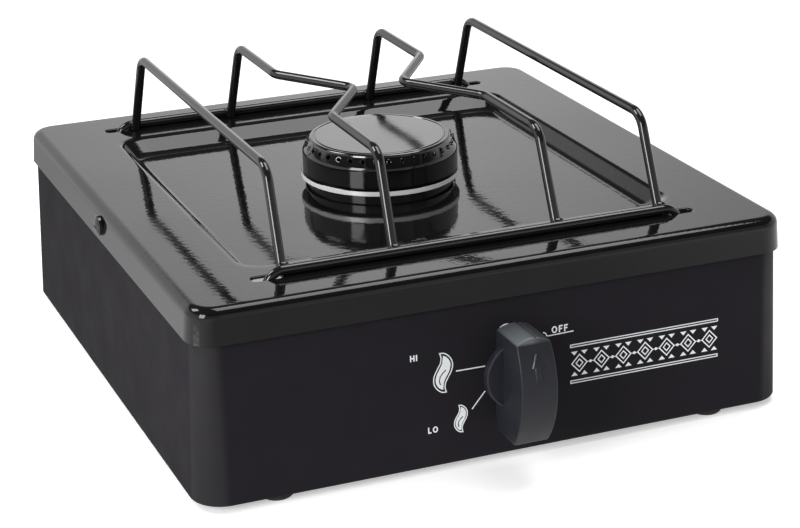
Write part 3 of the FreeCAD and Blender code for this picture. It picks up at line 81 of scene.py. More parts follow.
def new_object(name, data, material=None):
    """An object in the scene, with a material if one is given."""
    if material:
        data.materials.clear()
        data.materials.append(material)
    made = bpy.data.objects.new(name, data)
    bpy.context.scene.collection.objects.link(made)
    return made


def camera_matrix(place, turn, tilt, roll):
    """A camera at place that looks along +Y, turned to the right, tilted down and rolled."""
    level = math.cos(tilt)
    forward = Vector((math.sin(turn) * level, math.cos(turn) * level, -math.sin(tilt)))
    right = Vector((math.cos(turn), -math.sin(turn), 0.0))
    up = right.cross(forward)
    across = right * math.cos(roll) + up * math.sin(roll)
    above = up * math.cos(roll) - right * math.sin(roll)
    matrix = Matrix((across, above, -forward)).transposed().to_4x4()
    matrix.translation = Vector(place)
    return matrix


camera = new_object("camera", bpy.data.cameras.new("camera"))
camera.matrix_world = camera_matrix(CAMERA_PLACE, CAMERA_TURN, CAMERA_TILT, CAMERA_ROLL)
camera.data.sensor_width = SENSOR_WIDTH
camera.data.lens = FOCAL_PIXELS * SENSOR_WIDTH / PICTURE_WIDTH
bpy.context.scene.camera = camera
print("focal length in mm:", round(camera.data.lens, 2))

# %% [markdown]
# ## Building node trees in a script
#
# Materials and Geometry Nodes are both trees of nodes. One small helper adds a node, sets its
# options, and then either links an input to another node's output or writes a plain value on it.
# With it a tree reads from top to bottom like a recipe.


# %% Helpers that add nodes
def add(tree, kind, inputs=None, **options):
    """A new node's outputs. Inputs are named or numbered, and hold sockets, lists or values."""
    node = tree.nodes.new(kind)
    for option, value in options.items():
        setattr(node, option, value)
    for key, value in (inputs or {}).items():
        for source in value if isinstance(value, list) else [value]:
            if isinstance(source, bpy.types.NodeSocket):
                tree.links.new(source, node.inputs[key])
            else:
                node.inputs[key].default_value = source
    return node.outputs


def maths(tree, operation, first, *others):
    """One operation on a number, or on a row of numbers from left to right."""
    for other in others or (0.0,):
        first = add(tree, "ShaderNodeMath", {0: first, 1: other}, operation=operation)[0]
    return first


def spread(tree, value, start, end, low=0.0, high=1.0, way="LINEAR"):
    """Goes from low to high while the value goes from start to end, and stays level outside."""
    inputs = {0: value, 1: start, 2: end, 3: low, 4: high}
    return add(tree, "ShaderNodeMapRange", inputs, interpolation_type=way)[0]


def split(tree, vector):
    """The x, y and z of a vector."""
    return add(tree, "ShaderNodeSeparateXYZ", {0: vector})


def joined(tree, x=0.0, y=0.0, z=0.0):
    """A vector from its x, y and z."""
    return add(tree, "ShaderNodeCombineXYZ", {0: x, 1: y, 2: z})[0]


def empty_tree(owner):
    """The cleared node tree of a world or a material."""
    owner.use_nodes = True
    owner.node_tree.nodes.clear()
    return owner.node_tree


# %% [markdown]
# ## The studio
#
# The stove stands on white paper in a white studio. The paper is a pale matt floor, and
# the world behind it is white wherever the camera sees it. Glossy black enamel has almost no
# colour of its own, so its look comes from what it mirrors: a bright backdrop low behind the
# stove, a dimmer ceiling, and soft lamps to the left and above. That is why the world is brighter
# near the horizon than overhead for reflections.

# %% The world
PLAIN_LEVEL = 0.55
# What reflections see is a product of shares. Each has the axis of the direction it depends on,
# where it starts and ends along that axis, its level at both, and the way between them.
STUDIO_SHARES = {
    "backdrop to ceiling": ("Z", 0.385, 0.52, 1.55, 0.14, "SMOOTHSTEP"),
    "front to rear": ("Y", -0.75, -0.1, 0.45, 1.0, "SMOOTHSTEP"),
    "left to middle": ("X", 0.15, 0.33, 0.8, 1.15, "LINEAR"),
    "middle to right": ("X", 0.37, 0.52, 1.0, 0.6, "LINEAR"),
}


def make_world():
    """White for the camera, a plain level for soft light, and a studio for reflections."""
    world = bpy.data.worlds.new("studio")
    bpy.context.scene.world = world
    tree = empty_tree(world)
    direction = split(tree, add(tree, "ShaderNodeTexCoord")["Generated"])
    shares = [spread(tree, direction[axis], *run) for axis, *run in STUDIO_SHARES.values()]
    mirrored = maths(tree, "MULTIPLY", *shares)
    path = add(tree, "ShaderNodeLightPath")
    soft = add(tree, "ShaderNodeMix", {0: path["Is Glossy Ray"], 2: PLAIN_LEVEL, 3: mirrored})[0]
    seen = maths(tree, "MAXIMUM", path["Is Camera Ray"], path["Is Transmission Ray"])
    level = add(tree, "ShaderNodeMix", {0: seen, 2: soft, 3: 1.0})[0]
    background = add(tree, "ShaderNodeBackground", {"Strength": level})[0]
    add(tree, "ShaderNodeOutputWorld", {0: background})


make_world()

# %% [markdown]
# Softboxes are used for black pieces, because they draw the edges as long soft highlights. A tall
# one to the left draws the bright lines on the wires and on the cap. A wide one hangs over the
# cooktop, and a small one at the rear parts the wires from the background. Area lamps with a
# rectangle's shape stand for them.

# %% The lamps
# Where each lamp hangs, where it points, its width and height in metres, and its power in watts.
LAMPS = {
    "left_softbox": ((-1.2, -0.8, 0.62), (0.0, 0.0, 0.08), 0.5, 0.8, 13.0),
    "top_softbox": ((0.42, 0.05, 1.45), (0.0, 0.0, 0.0), 0.9, 0.8, 11.0),
    "rear_softbox": ((-0.85, 0.45, 1.15), (0.0, 0.0, 0.0), 0.5, 0.5, 7.0),
}
for lamp_name, (place, target, width, height, power) in LAMPS.items():
    light = bpy.data.lights.new(lamp_name, "AREA")
    light.shape = "RECTANGLE"
    light.size = width
    light.size_y = height
    light.energy = power
    turn = (Vector(target) - Vector(place)).to_track_quat("-Z", "Y").to_matrix().to_4x4()
    new_object(lamp_name, light).matrix_world = Matrix.Translation(place) @ turn
print("lamps:", len(LAMPS))

# %% [markdown]
# The floor is a large sheet of white paper that carries the stove's shadow. A dark wall mirrors
# the floor in front of it, so how bright the paper is in reflections decides how dark the walls
# look. A Light Path node keeps that apart from what the camera sees. Two bright cards that only
# reflections see light the front corners, as white boards do in a studio.

# %% The paper
FLOOR_SIZE = 30.0
PAPER_WHITE = 0.9
PAPER_GLOW = 0.42
FIBRE_SCALE = 900.0
FIBRE_BUMP = {"Strength": 0.1, "Distance": 0.0001}
# What reflections see of the paper: its level, what is added aside and near, and taken behind,
# and between which places each of the three comes in.
PAPER_FAR = 0.52
PAPER_ASIDE = 0.45
PAPER_NEAR = 0.3
ASIDE_RUN = (0.2, 0.4)
NEAR_RUN = (-0.42, -0.2)
BEHIND_RUN = (0.1, 0.4)
# The two cards beside the front corners: centre, half sizes, and how bright they mirror.
CARDS = {
    "left": ((-0.36, -0.19), (0.10, 0.08), 2.4),
    "right": ((0.265, -0.225), (0.06, 0.06), 5.0),
}
CARD_BLUR = 0.04


def card_light(tree, place, middle, half, level):
    """A soft-edged bright rectangle on the paper."""
    shares = []
    for axis in (0, 1):
        away = maths(tree, "ABSOLUTE", maths(tree, "SUBTRACT", place[axis], middle[axis]))
        shares.append(spread(tree, away, half[axis] - CARD_BLUR, half[axis], 1.0, 0.0))
    return maths(tree, "MULTIPLY", level, *shares)


def make_paper():
    """Paper that is white to the camera. In reflections it is lit unevenly, as a table is."""
    material = bpy.data.materials.new("studio_paper")
    tree = empty_tree(material)
    place = add(tree, "ShaderNodeTexCoord")["Object"]
    fibre = add(tree, "ShaderNodeTexNoise", {"Vector": place, "Scale": FIBRE_SCALE})[0]
    bump = add(tree, "ShaderNodeBump", {"Height": fibre, **FIBRE_BUMP})[0]
    white = (PAPER_WHITE, PAPER_WHITE, PAPER_WHITE, 1.0)
    bright = add(tree, "ShaderNodeBsdfDiffuse", {"Color": white, "Normal": bump})[0]
    glow = add(tree, "ShaderNodeEmission", {"Strength": PAPER_GLOW})[0]
    lifted = add(tree, "ShaderNodeAddShader", {0: bright, 1: glow})[0]
    spot = split(tree, place)
    sideways = maths(tree, "ABSOLUTE", spot[0])
    aside = spread(tree, sideways, *ASIDE_RUN, PAPER_FAR, PAPER_FAR + PAPER_ASIDE)
    near = spread(tree, spot[1], *NEAR_RUN, 0.0, PAPER_NEAR)
    behind = spread(tree, spot[1], *BEHIND_RUN, 0.0, -PAPER_NEAR)
    cards = [card_light(tree, spot, *card) for card in CARDS.values()]
    level = maths(tree, "ADD", aside, near, behind, *cards)
    shaded = add(tree, "ShaderNodeEmission", {"Strength": level})[0]
    seen = add(tree, "ShaderNodeLightPath")["Is Camera Ray"]
    mix = add(tree, "ShaderNodeMixShader", {0: seen, 1: shaded, 2: lifted})[0]
    add(tree, "ShaderNodeOutputMaterial", {0: mix})
    return material


# %% The floor
def make_floor():
    mesh = bpy.data.meshes.new("floor")
    half = FLOOR_SIZE / 2
    corners = [(-half, -half, 0), (half, -half, 0), (half, half, 0), (-half, half, 0)]
    mesh.from_pydata(corners, [], [(0, 1, 2, 3)])
    new_object("floor", mesh, make_paper())


make_floor()
print("floor in metres:", FLOOR_SIZE)

# %% [markdown]
# ## Finishes
#
# Every finish is one Principled shader. Values that are the same all over sit on the shader's own
# sockets. Only what really varies on the surface comes from textures on Object coordinates, which
# are metres here: a grain of 0.003 gives spots of about 3 mm. Bump heights are real heights, a
# few thousandths of a millimetre for the orange peel of enamel.

# %% Helpers for finishes
# Nearly all of a noise lies between these two values.
NOISE_RUN = (0.3, 0.7)


def noise(tree, place, grain, detail=2.0):
    """Smooth noise whose spots are about grain metres across."""
    return add(tree, "ShaderNodeTexNoise", {"Vector": place, "Scale": 1.0 / grain, "Detail": detail})[0]


def varied(tree, shader, socket, pattern, low, high):
    """Spreads a shader's value between low and high by a pattern."""
    tree.links.new(spread(tree, pattern, *NOISE_RUN, low, high), shader.inputs[socket])


def tinted(tree, shader, pattern, dark, light):
    """Spreads the base colour between two colours by a pattern."""
    colours = {0: pattern, 6: (*dark, 1.0), 7: (*light, 1.0)}
    mixed = add(tree, "ShaderNodeMix", colours, data_type="RGBA")[2]
    tree.links.new(mixed, shader.inputs["Base Color"])


def raised(tree, shader, layers):
    """Stacks bumps, each a real height in metres and its pattern."""
    inputs = {}
    for height, pattern in layers:
        inputs.update({"Height": pattern, "Distance": height, "Strength": 1.0})
        inputs["Normal"] = add(tree, "ShaderNodeBump", inputs)[0]
    tree.links.new(inputs["Normal"], shader.inputs["Normal"])


# %% One function for every finish
def finish(name, colour=None, rough=None, bumps=None, special=None, **sockets):
    """A finish: colour is dark, light and grain, rough is low, high and grain, and each bump is
    height and grain. A noise's detail may follow its grain. Special adds what is left."""
    material = bpy.data.materials.new(name)
    tree = empty_tree(material)
    surface = add(tree, "ShaderNodeBsdfPrincipled")[0]
    add(tree, "ShaderNodeOutputMaterial", {0: surface})
    shader = surface.node
    place = add(tree, "ShaderNodeTexCoord")["Object"]
    for socket, value in sockets.items():
        shader.inputs[socket].default_value = value
    if colour:
        dark, light, *spots = colour
        tinted(tree, shader, noise(tree, place, *spots), dark, light)
    if rough:
        low, high, *spots = rough
        varied(tree, shader, "Roughness", noise(tree, place, *spots), low, high)
    if bumps:
        raised(tree, shader, [(height, noise(tree, place, *spots)) for height, *spots in bumps])
    if special:
        special(tree, shader, place)
    return material


# %% [markdown]
# The cooktop, the burner cap and the grate are dipped in black glass enamel. It is glossy and
# nearly mirror-like, with a fine orange peel and a slow waviness of the sheet under it. Both
# are what make the mirrored wires in the real cooktop bend and fray. The cap shines most on its
# top, where the flame keeps it clean, and least on its skirt.

# %% The cooktop's enamel
ENAMEL = finish(
    "black_enamel",
    colour=((0.0035, 0.0035, 0.004), (0.006, 0.006, 0.007), 0.02),
    rough=(0.045, 0.085, 0.03, 4.0),
    bumps=[(0.0003, 0.07, 0.0), (0.000034, 0.0032, 1.0)],
    IOR=1.43,
)

# %% The cap's enamel
# Heights between which the cap's shine rises, and its shine below and above them.
CAP_SHINE_RUN = (0.111, 0.1175)
CAP_SHINE = (0.28, 0.5)


def clean_top(tree, shader, place):
    shine = spread(tree, split(tree, place)[2], *CAP_SHINE_RUN, *CAP_SHINE)
    tree.links.new(shine, shader.inputs["Specular IOR Level"])


CAP_ENAMEL = finish(
    "cap_enamel",
    colour=((0.0018, 0.0018, 0.0022), (0.0045, 0.0045, 0.005), 0.01),
    rough=(0.08, 0.12, 0.02, 4.0),
    bumps=[(0.00008, 0.03, 0.0), (0.000016, 0.003, 1.0)],
    special=clean_top,
    IOR=1.85,
)

# %% The grate's enamel
GRATE_ENAMEL = finish(
    "grate_enamel",
    colour=((0.006, 0.006, 0.0065), (0.011, 0.011, 0.012), 0.006),
    rough=(0.05, 0.10, 0.008, 4.0),
    bumps=[(0.00002, 0.006, 1.0), (0.000006, 0.0011)],
    IOR=1.58,
)

# %% [markdown]
# The housing is powder coated: satin black, with a fine pebbled skin that handling has rubbed
# smoother at the rounded corners. The knob is moulded in a slightly blue dark grey plastic with a
# fine spark-eroded texture. Its upper end carries a painted highlight, a paler colour that fades
# to the right and to the rear. Its raised arrow is smoother, and the feet are rubber.

# %% Powder coat
# Where the housing's rounded corners begin, how soon they are fully rubbed, and their shine.
COAT_CORNER = (0.1355, 0.1405)
CORNER_RUN = 0.008
CORNER_SHINE = (0.04, 0.24)


def rubbed_corners(tree, shader, place):
    spot = split(tree, place)
    shares = []
    for axis, start in enumerate(COAT_CORNER):
        away = maths(tree, "ABSOLUTE", spot[axis])
        shares.append(spread(tree, away, start, start + CORNER_RUN))
    varied(tree, shader, "Specular IOR Level", maths(tree, "MULTIPLY", *shares), *CORNER_SHINE)


POWDER_COAT = finish(
    "powder_coat",
    colour=((0.0165, 0.0150, 0.0183), (0.0195, 0.0178, 0.0216), 0.015),
    rough=(0.56, 0.66, 0.02, 4.0),
    bumps=[(0.000022, 0.0011, 3.0), (0.00008, 0.12, 0.0)],
    special=rubbed_corners,
    IOR=1.45,
)

# %% The knob's plastic and the painted highlight on its upper end
# The painted highlight on the knob's upper end: the axis, where a share starts and ends, and its two
# levels.
KNOB_PAINTED_HIGHLIGHT = (
    (2, 0.0698, 0.0708, 0.0, 1.0),
    (0, -0.001, 0.004, 1.0, 0.25),
    (1, -0.193, -0.168, 1.0, 0.35),
)
# The plastic's own colour, and the paler colour of the painted highlight.
KNOB_AND_HIGHLIGHT_COLOURS = ((0.0120, 0.0128, 0.0185), (0.120, 0.134, 0.140))


# A painted highlight: the upper end is paler, most at the top, the left and the front.
def painted_highlight_end(tree, shader, place):
    spot = split(tree, place)
    shares = [spread(tree, spot[axis], *run) for axis, *run in KNOB_PAINTED_HIGHLIGHT]
    tinted(tree, shader, maths(tree, "MULTIPLY", *shares), *KNOB_AND_HIGHLIGHT_COLOURS)


KNOB_PLASTIC = finish(
    "knob_plastic",
    rough=(0.42, 0.52, 0.006, 4.0),
    bumps=[(0.000012, 0.0005, 3.0)],
    special=painted_highlight_end,
    IOR=1.48,
)
ARROW_PLASTIC = finish(
    "arrow_plastic",
    colour=((0.008, 0.009, 0.012), (0.011, 0.012, 0.016), 0.004),
    rough=(0.22, 0.32, 0.004, 4.0),
    bumps=[(0.000004, 0.0006, 3.0)],
    IOR=1.48,
)

# %% The feet's rubber
RUBBER = finish(
    "foot_rubber",
    colour=((0.012, 0.012, 0.012), (0.022, 0.022, 0.021), 0.003),
    rough=(0.7, 0.88, 0.002, 4.0),
    bumps=[(0.00003, 0.0008, 3.0)],
    IOR=1.5,
)

# %% [markdown]
# The pieces under the cooktop are bare metal. Zinc plating has a crystal spangle, brass is turned
# and slightly dull, and the copper pipe has darker tarnished clouds. The burner's cup is a casting
# with a rim turned back to bare metal, so its bump runs in rings about the upright axis. Elsewhere
# the cup is coloured near-black, which paints the shade under the rim, and the colour changes at
# the rim's lower edge.

# %% Zinc plating
SPANGLE_SCALE = 260.0
SPANGLE_COLOURS = ((0.50, 0.52, 0.55), (0.68, 0.70, 0.72))
SPANGLE_ROUGHNESS = (0.28, 0.42)


def spangle(tree, shader, place):
    cells = add(tree, "ShaderNodeTexVoronoi", {"Vector": place, "Scale": SPANGLE_SCALE})
    grey = add(tree, "ShaderNodeSeparateColor", {0: cells["Color"]})[0]
    tinted(tree, shader, grey, *SPANGLE_COLOURS)
    varied(tree, shader, "Roughness", grey, *SPANGLE_ROUGHNESS)


ZINC = finish("zinc_plate", bumps=[(0.000006, 0.0012)], special=spangle, Metallic=1.0)

# %% The cup's painted shade and bare rim
# The bare rim: the heights it lies between, the radius it starts at and its share of metal.
RIM_Z = (0.0971, 0.09975)
RIM_RADIUS = 0.0395
RIM_METAL = 0.2
# The near-black painted shade on the cup, and the light metal of the bare rim.
CUP_SHADE_AND_RIM_COLOURS = ((0.006, 0.006, 0.007), (0.90, 0.90, 0.89))
RIM_ROUGHNESS = (0.25, 0.4)
# How rough the cup is where its colour paints the shade.
DARK_CUP_ROUGHNESS = 0.12
# How fine and how high the rings of the turning tool are, and the grains of the casting.
TURNING_GRAIN = 0.0003125
TURNING_HEIGHT = 0.000004
CASTING_GRAIN = 0.0015
CASTING_HEIGHT = 0.000005


def bare_rim(tree, shader, place):
    """Bare turned metal on the rim's outer face, and near-black painted shade above and below it."""
    x, y, z = split(tree, place)
    radius = add(tree, "ShaderNodeVectorMath", {0: joined(tree, x, y)}, operation="LENGTH")["Value"]
    rings = noise(tree, joined(tree, radius, z), TURNING_GRAIN)
    over = maths(tree, "GREATER_THAN", z, RIM_Z[0])
    under = maths(tree, "LESS_THAN", z, RIM_Z[1])
    bare = maths(tree, "MULTIPLY", over, under, maths(tree, "GREATER_THAN", radius, RIM_RADIUS))
    tinted(tree, shader, bare, *CUP_SHADE_AND_RIM_COLOURS)
    scratched = spread(tree, rings, *NOISE_RUN, *RIM_ROUGHNESS)
    smooth = add(tree, "ShaderNodeMix", {0: bare, 2: DARK_CUP_ROUGHNESS, 3: scratched})[0]
    tree.links.new(smooth, shader.inputs["Roughness"])
    tree.links.new(maths(tree, "MULTIPLY", bare, RIM_METAL), shader.inputs["Metallic"])
    casting = noise(tree, place, CASTING_GRAIN)
    raised(tree, shader, [(TURNING_HEIGHT, rings), (CASTING_HEIGHT, casting)])


TURNED_METAL = finish("turned_aluminium", special=bare_rim)

# %% Brass, copper and spring steel
LESS_ROUGH = 0.06
MORE_ROUGH = 0.08


def make_metal(name, dark, light, roughness, grain):
    """A dull bare metal whose bumps are a tenth of its colour's grain."""
    rough = (roughness - LESS_ROUGH, roughness + MORE_ROUGH, grain * 0.6, 4.0)
    bumps = [(0.000006, grain * 0.1, 3.0)]
    return finish(name, (dark, light, grain, 4.0), rough, bumps, Metallic=1.0)


BRASS = make_metal("valve_brass", (0.58, 0.40, 0.16), (0.74, 0.54, 0.24), 0.32, 0.006)
COPPER = make_metal("pipe_copper", (0.42, 0.19, 0.12), (0.72, 0.39, 0.26), 0.30, 0.012)
SPRING_STEEL = make_metal("spring_steel", (0.30, 0.31, 0.33), (0.44, 0.45, 0.47), 0.26, 0.004)

# %% [markdown]
# The marks on the panel are screen printed in white ink, which dries matt and a little uneven. A
# pale colour with faint clouds is enough for it, because the layer is so thin.

# %% White print
WHITE_PRINT = finish(
    "white_print",
    colour=((0.82, 0.85, 0.87), (0.94, 0.96, 0.98), 0.002, 3.0),
    rough=(0.45, 0.6, 0.001),
    bumps=[(0.000006, 0.0007)],
    IOR=1.45,
)
print("finishes:", len(bpy.data.materials))

# %% [markdown]
# ## Shapes from rings
#
# A pressed sheet is easiest to describe as a stack of rounded rectangles, one for each turn of
# its section. Neighbouring rings are joined by quads. Each corner gets one more point on the
# straight side beside it, so the smooth shading of the corner doesn't leak into the flat wall.

# %% Outlines and the faces between them
CORNER_STEPS = 14
SIDE_SUPPORT = 1.5
QUADRANTS = ((1, -1), (1, 1), (-1, 1), (-1, -1))


def circle(count, radius, height=None):
    """(x, y) points of a circle about the origin, or of an oval, anticlockwise."""
    turns = [2 * math.pi * k / count for k in range(count)]
    return [(radius * math.cos(a), (height or radius) * math.sin(a)) for a in turns]


def round_ring(radius, z, count=96):
    """Points of a level circle in mm."""
    return [(x, y, z) for x, y in circle(count, radius)]


def arc_points(center_r, center_z, radius, start, end, steps):
    """(r, z) points of an arc in a section, with angles in degrees."""
    turns = [math.radians(start + (end - start) * k / steps) for k in range(steps + 1)]
    return [(center_r + radius * math.cos(a), center_z + radius * math.sin(a)) for a in turns]


def ring(half_x, half_y, corner, z, middle_y=0.0):
    """Points of a level rounded rectangle, anticlockwise, in mm. The corner may have two radii."""
    radius_x, radius_y = corner if isinstance(corner, tuple) else (corner, corner)
    points = []
    for quarter, (side_x, side_y) in enumerate(QUADRANTS):
        start = 90 * (quarter - 1)
        center = Vector((side_x * (half_x - radius_x), side_y * (half_y - radius_y)))
        turned = arc_points(0.0, 0.0, 1.0, start, start + 90, CORNER_STEPS)
        arc = [center + Vector((radius_x * x, radius_y * y)) for x, y in turned]
        before, after = (Vector((-y, x)) * SIDE_SUPPORT for x, y in (turned[0], turned[-1]))
        points += [arc[0] - before, *arc, arc[-1] + after]
    return [(p.x, p.y + middle_y, z) for p in points]


def quads(low, high, count):
    """Faces between two rings whose points are numbered from low and from high."""
    return [(low + k, low + (k + 1) % count, high + (k + 1) % count, high + k) for k in range(count)]


def lofted(rings, first=0, closed=False):
    """Faces between each ring and the next, and back to the first one if closed."""
    count = len(rings[0])
    starts = [first + level * count for level in range(len(rings))]
    pairs = list(zip(starts, starts[1:])) + [(starts[-1], starts[0])] * closed
    return [face for low, high in pairs for face in quads(low, high, count)]


def inset(outline, amount):
    """An outline drawn in by an amount along its own normals."""
    drawn = []
    for before, point, after in zip(outline[-1:] + outline[:-1], outline, outline[1:] + outline[:1]):
        along = (after - before).normalized()
        drawn.append(point + Vector((-along.y, along.x)) * amount)
    return drawn


# %% [markdown]
# A piece starts as rings, and then modifiers such as Solidify or Boolean finish it. Their result
# is read back as a plain mesh, because that is what can ride on a body of the model. A finished
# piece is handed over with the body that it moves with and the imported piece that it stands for.

# %% Pieces from outlines
def plain_mesh(name, points, edges=(), faces=()):
    """A mesh from points in mm."""
    mesh = bpy.data.meshes.new(name)
    mesh.from_pydata([Vector(p) * MM for p in points], edges, faces)
    return mesh


def new_piece(name, rings, faces, material):
    """An object from rings of points in mm, with smooth faces."""
    mesh = plain_mesh(name, [p for level in rings for p in level], faces=faces)
    mesh.validate()
    mesh.shade_smooth()
    return new_object(name, mesh, material)


def solid(name, rings, material):
    """A closed piece through rings of points, with a flat face over each end."""
    count = len(rings[0])
    last = (len(rings) - 1) * count
    ends = [tuple(reversed(range(count))), tuple(range(last, last + count))]
    return new_piece(name, rings, lofted(rings) + ends, material)


# %% Modifiers worked into plain meshes
def sharpened(piece, degrees):
    """The piece with its edges over an angle made sharp."""
    piece.data.set_sharp_from_angle(angle=math.radians(degrees))
    return piece


def evaluated_mesh(piece):
    bpy.context.view_layer.update()
    evaluated = piece.evaluated_get(bpy.context.evaluated_depsgraph_get())
    return bpy.data.meshes.new_from_object(evaluated)


def settled(piece, sharp=None):
    """The piece with its modifiers worked into a plain mesh, and edges over an angle made sharp."""
    mesh = evaluated_mesh(piece)
    mesh.name = piece.name
    piece.modifiers.clear()
    piece.data = mesh
    if sharp:
        mesh.shade_smooth()
        sharpened(piece, sharp)
    return piece


def modified(piece, kind, **settings):
    """The piece with one more modifier."""
    made = piece.modifiers.new(kind.lower(), kind)
    for setting, value in settings.items():
        setattr(made, setting, value)
    return piece


def remove(*objects):
    for used in objects:
        bpy.data.objects.remove(used)


# %% Cutting tools and handing over
def cut(piece, tools, operation="DIFFERENCE", sharp=35):
    """Cuts tools from a piece, or joins them to it, and takes the tools away."""
    for tool in tools:
        modified(piece, "BOOLEAN", object=tool, operation=operation, solver="EXACT")
    settled(piece, sharp)
    remove(*tools)
    return piece


def cylinder(name, radius, start, axis, length, count=48):
    """A closed cylinder as a cutting tool. Start and axis are in mm and world directions."""
    turn = Vector(axis).to_track_quat("Z", "Y").to_matrix()
    level = [round_ring(radius, z, count) for z in (0.0, length)]
    return solid(name, [[Vector(start) + turn @ Vector(p) for p in end] for end in level], POWDER_COAT)


def hand_over(piece, body, slot, *nodes):
    """Lets a finished piece ride on its body and stand for its nodes."""
    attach(piece, body)
    if nodes:
        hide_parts(*nodes)
    print(piece.name, "has", len(piece.data.polygons), "faces")


# %% [markdown]
# ## The housing
#
# The housing is one pressed box of 0.8 mm sheet, open below, with a flange turned in at the
# bottom and one at the top that carries the cooktop. Its walls lean in by 3.5 mm towards the top.
# A stack of rings follows the section once, and Solidify gives the sheet its thickness inwards.
# The holes for the knob's stem, the gas inlet and the two side screws are cut afterwards, so the
# sheet has real edges there.

# %% The housing
SHEET = 0.8
BASE_Z = 3.0
HOUSING_TOP = 98.2
HOUSING_HALF = (153.0, 158.0)
HOUSING_FLARE = 3.5
HOUSING_CORNER = 16.0
HOUSING_RIM = 6.0
# The flat rings of the two flanges: how far each is drawn in and how much less round it is.
BOTTOM_RINGS = ((30.0, 0.0), (3.5, 3.0))
TOP_RINGS = ((11.0, 6.0), (19.5, 0.0))
BOTTOM_BEND = 1.6
WALL_SUPPORT = 0.8
STEM_Z = 49.3
INLET_X = 90.0
SIDE_SCREW_Z = 90.4
# The radius, start, direction and length of the tool that cuts each hole.
HOUSING_HOLES = {
    "stem_hole": (6.0, (0, -165, STEM_Z), (0, 1, 0), 20),
    "inlet_hole": (9.9, (INLET_X, 145, STEM_Z), (0, 1, 0), 20),
    "left_screw_hole": (2.4, (-156, 0, SIDE_SCREW_Z), (1, 0, 0), 12),
    "right_screw_hole": (2.4, (144, 0, SIDE_SCREW_Z), (1, 0, 0), 12),
}


# %% The housing's section
def housing_section():
    """(inset, z) of the section from the bottom flange's bend to the top flange's start."""
    section = arc_points(BOTTOM_BEND, BASE_Z + BOTTOM_BEND, -BOTTOM_BEND, 90, 0, 5)
    lean = HOUSING_FLARE / (HOUSING_TOP - BASE_Z)
    low = BASE_Z + BOTTOM_BEND + WALL_SUPPORT
    high = HOUSING_TOP - HOUSING_RIM - WALL_SUPPORT
    section += [(lean * (z - BASE_Z), z) for z in (low, (low + high) / 2, high)]
    top_inset = HOUSING_FLARE + HOUSING_RIM
    return section + arc_points(top_inset, HOUSING_TOP - HOUSING_RIM, HOUSING_RIM, 180, 90, 7)


def sheet_piece(name, rings, faces, material, sharp=None):
    """A piece whose faces get the sheet's thickness inwards."""
    piece = new_piece(name, rings, faces, material)
    modified(piece, "SOLIDIFY", thickness=SHEET * MM, offset=-1.0, use_even_offset=True)
    return settled(piece, sharp)


# %% Make the housing
def make_housing():
    section = [(drawn, less, BASE_Z) for drawn, less in BOTTOM_RINGS]
    section += [(drawn, min(drawn, HOUSING_RIM), z) for drawn, z in housing_section()]
    section += [(drawn, less, HOUSING_TOP) for drawn, less in TOP_RINGS]
    half_x, half_y = HOUSING_HALF
    rings = []
    for drawn, less, z in section:
        rings.append(ring(half_x - drawn, half_y - drawn, HOUSING_CORNER - less, z))
    housing = sheet_piece("housing_shell", rings, lofted(rings), POWDER_COAT)
    cut(housing, [cylinder(name, *hole) for name, hole in HOUSING_HOLES.items()])
    hand_over(housing, "stove", "body_black", "housing")


make_housing()

# %% [markdown]
# ## The cooktop
#
# The cooktop is pressed from sheet too, and then enamelled. From outside in its section has a lip
# that leans out a little, a rounded rim, a flat deck, and a sloping wall down to the floor of the
# well. The side walls of the well are steep and its front and rear are gentler, so each ring
# of the wall has its own width and depth. The flat deck has four slots for the grate and the floor
# has a round hole for the burner. Flat stretches with holes in them are triangulated between their
# outlines, which keeps them perfectly flat, as a mirror-like surface needs.

# %% The cooktop's flat stretches
DECK_Z = 99.0
WELL_FLOOR_Z = 91.5
ROLL = 0.9
SLOT_RADIUS = 2.9
SLOT_ENDS = (102.0, 111.1)
SLOT_Y = 127.0
SLOT_STEPS = 12
BURNER_HOLE = 38.8
# Flat support beside a hole's roll, and straight support under it.
ROLL_SUPPORT = (0.4, 0.25)


def inside(point, outline):
    """Whether a point lies inside a closed outline, counted by crossings."""
    x, y = point[0], point[1]
    crossings = 0
    for (x1, y1, *_), (x2, y2, *_) in zip(outline, outline[1:] + outline[:1]):
        if (y1 > y) != (y2 > y) and x < x1 + (y - y1) * (x2 - x1) / (y2 - y1):
            crossings += 1
    return crossings % 2 == 1


def slot_ring(side_x, side_y, radius, z):
    """A rounded slot in the deck, anticlockwise."""
    near, far = sorted(side_x * end for end in SLOT_ENDS)
    y = side_y * SLOT_Y
    right = arc_points(far, y, radius, -90, 90, SLOT_STEPS)
    left = arc_points(near, y, radius, 90, 270, SLOT_STEPS)
    return [(px, py, z) for px, py in right + left]


# %% Flat stretches between outlines
def flat_between(outer, holes, first_numbers):
    """Triangles between an outline and its holes, whose points are numbered from the numbers."""
    flat, edges, numbers = [], [], []
    for outline, first in zip([outer] + holes, first_numbers):
        start = len(flat)
        count = len(outline)
        flat += [Vector((p[0], p[1])) for p in outline]
        edges += [(start + k, start + (k + 1) % count) for k in range(count)]
        numbers += [first + k for k in range(count)]
    made, _, triangles, sources, _, _ = delaunay_2d_cdt(flat, edges, [], 0, 1e-6)
    faces = []
    for triangle in triangles:
        center = sum((made[k] for k in triangle), Vector((0, 0))) / 3
        if inside(center, outer) and not any(inside(center, hole) for hole in holes):
            faces.append(tuple(numbers[sources[k][0]] for k in triangle))
    return faces


def rolled_edge(make_ring, radius, z):
    """Rings of a hole's edge, from the flat stretch over a small roll and down the hole's wall."""
    edge = [(radius + ROLL + ROLL_SUPPORT[0], z)]
    edge += arc_points(radius + ROLL, z - ROLL, ROLL, 90, 180, 5)
    edge.append((radius, z - ROLL - ROLL_SUPPORT[1]))
    return [make_ring(r, level) for r, level in edge]


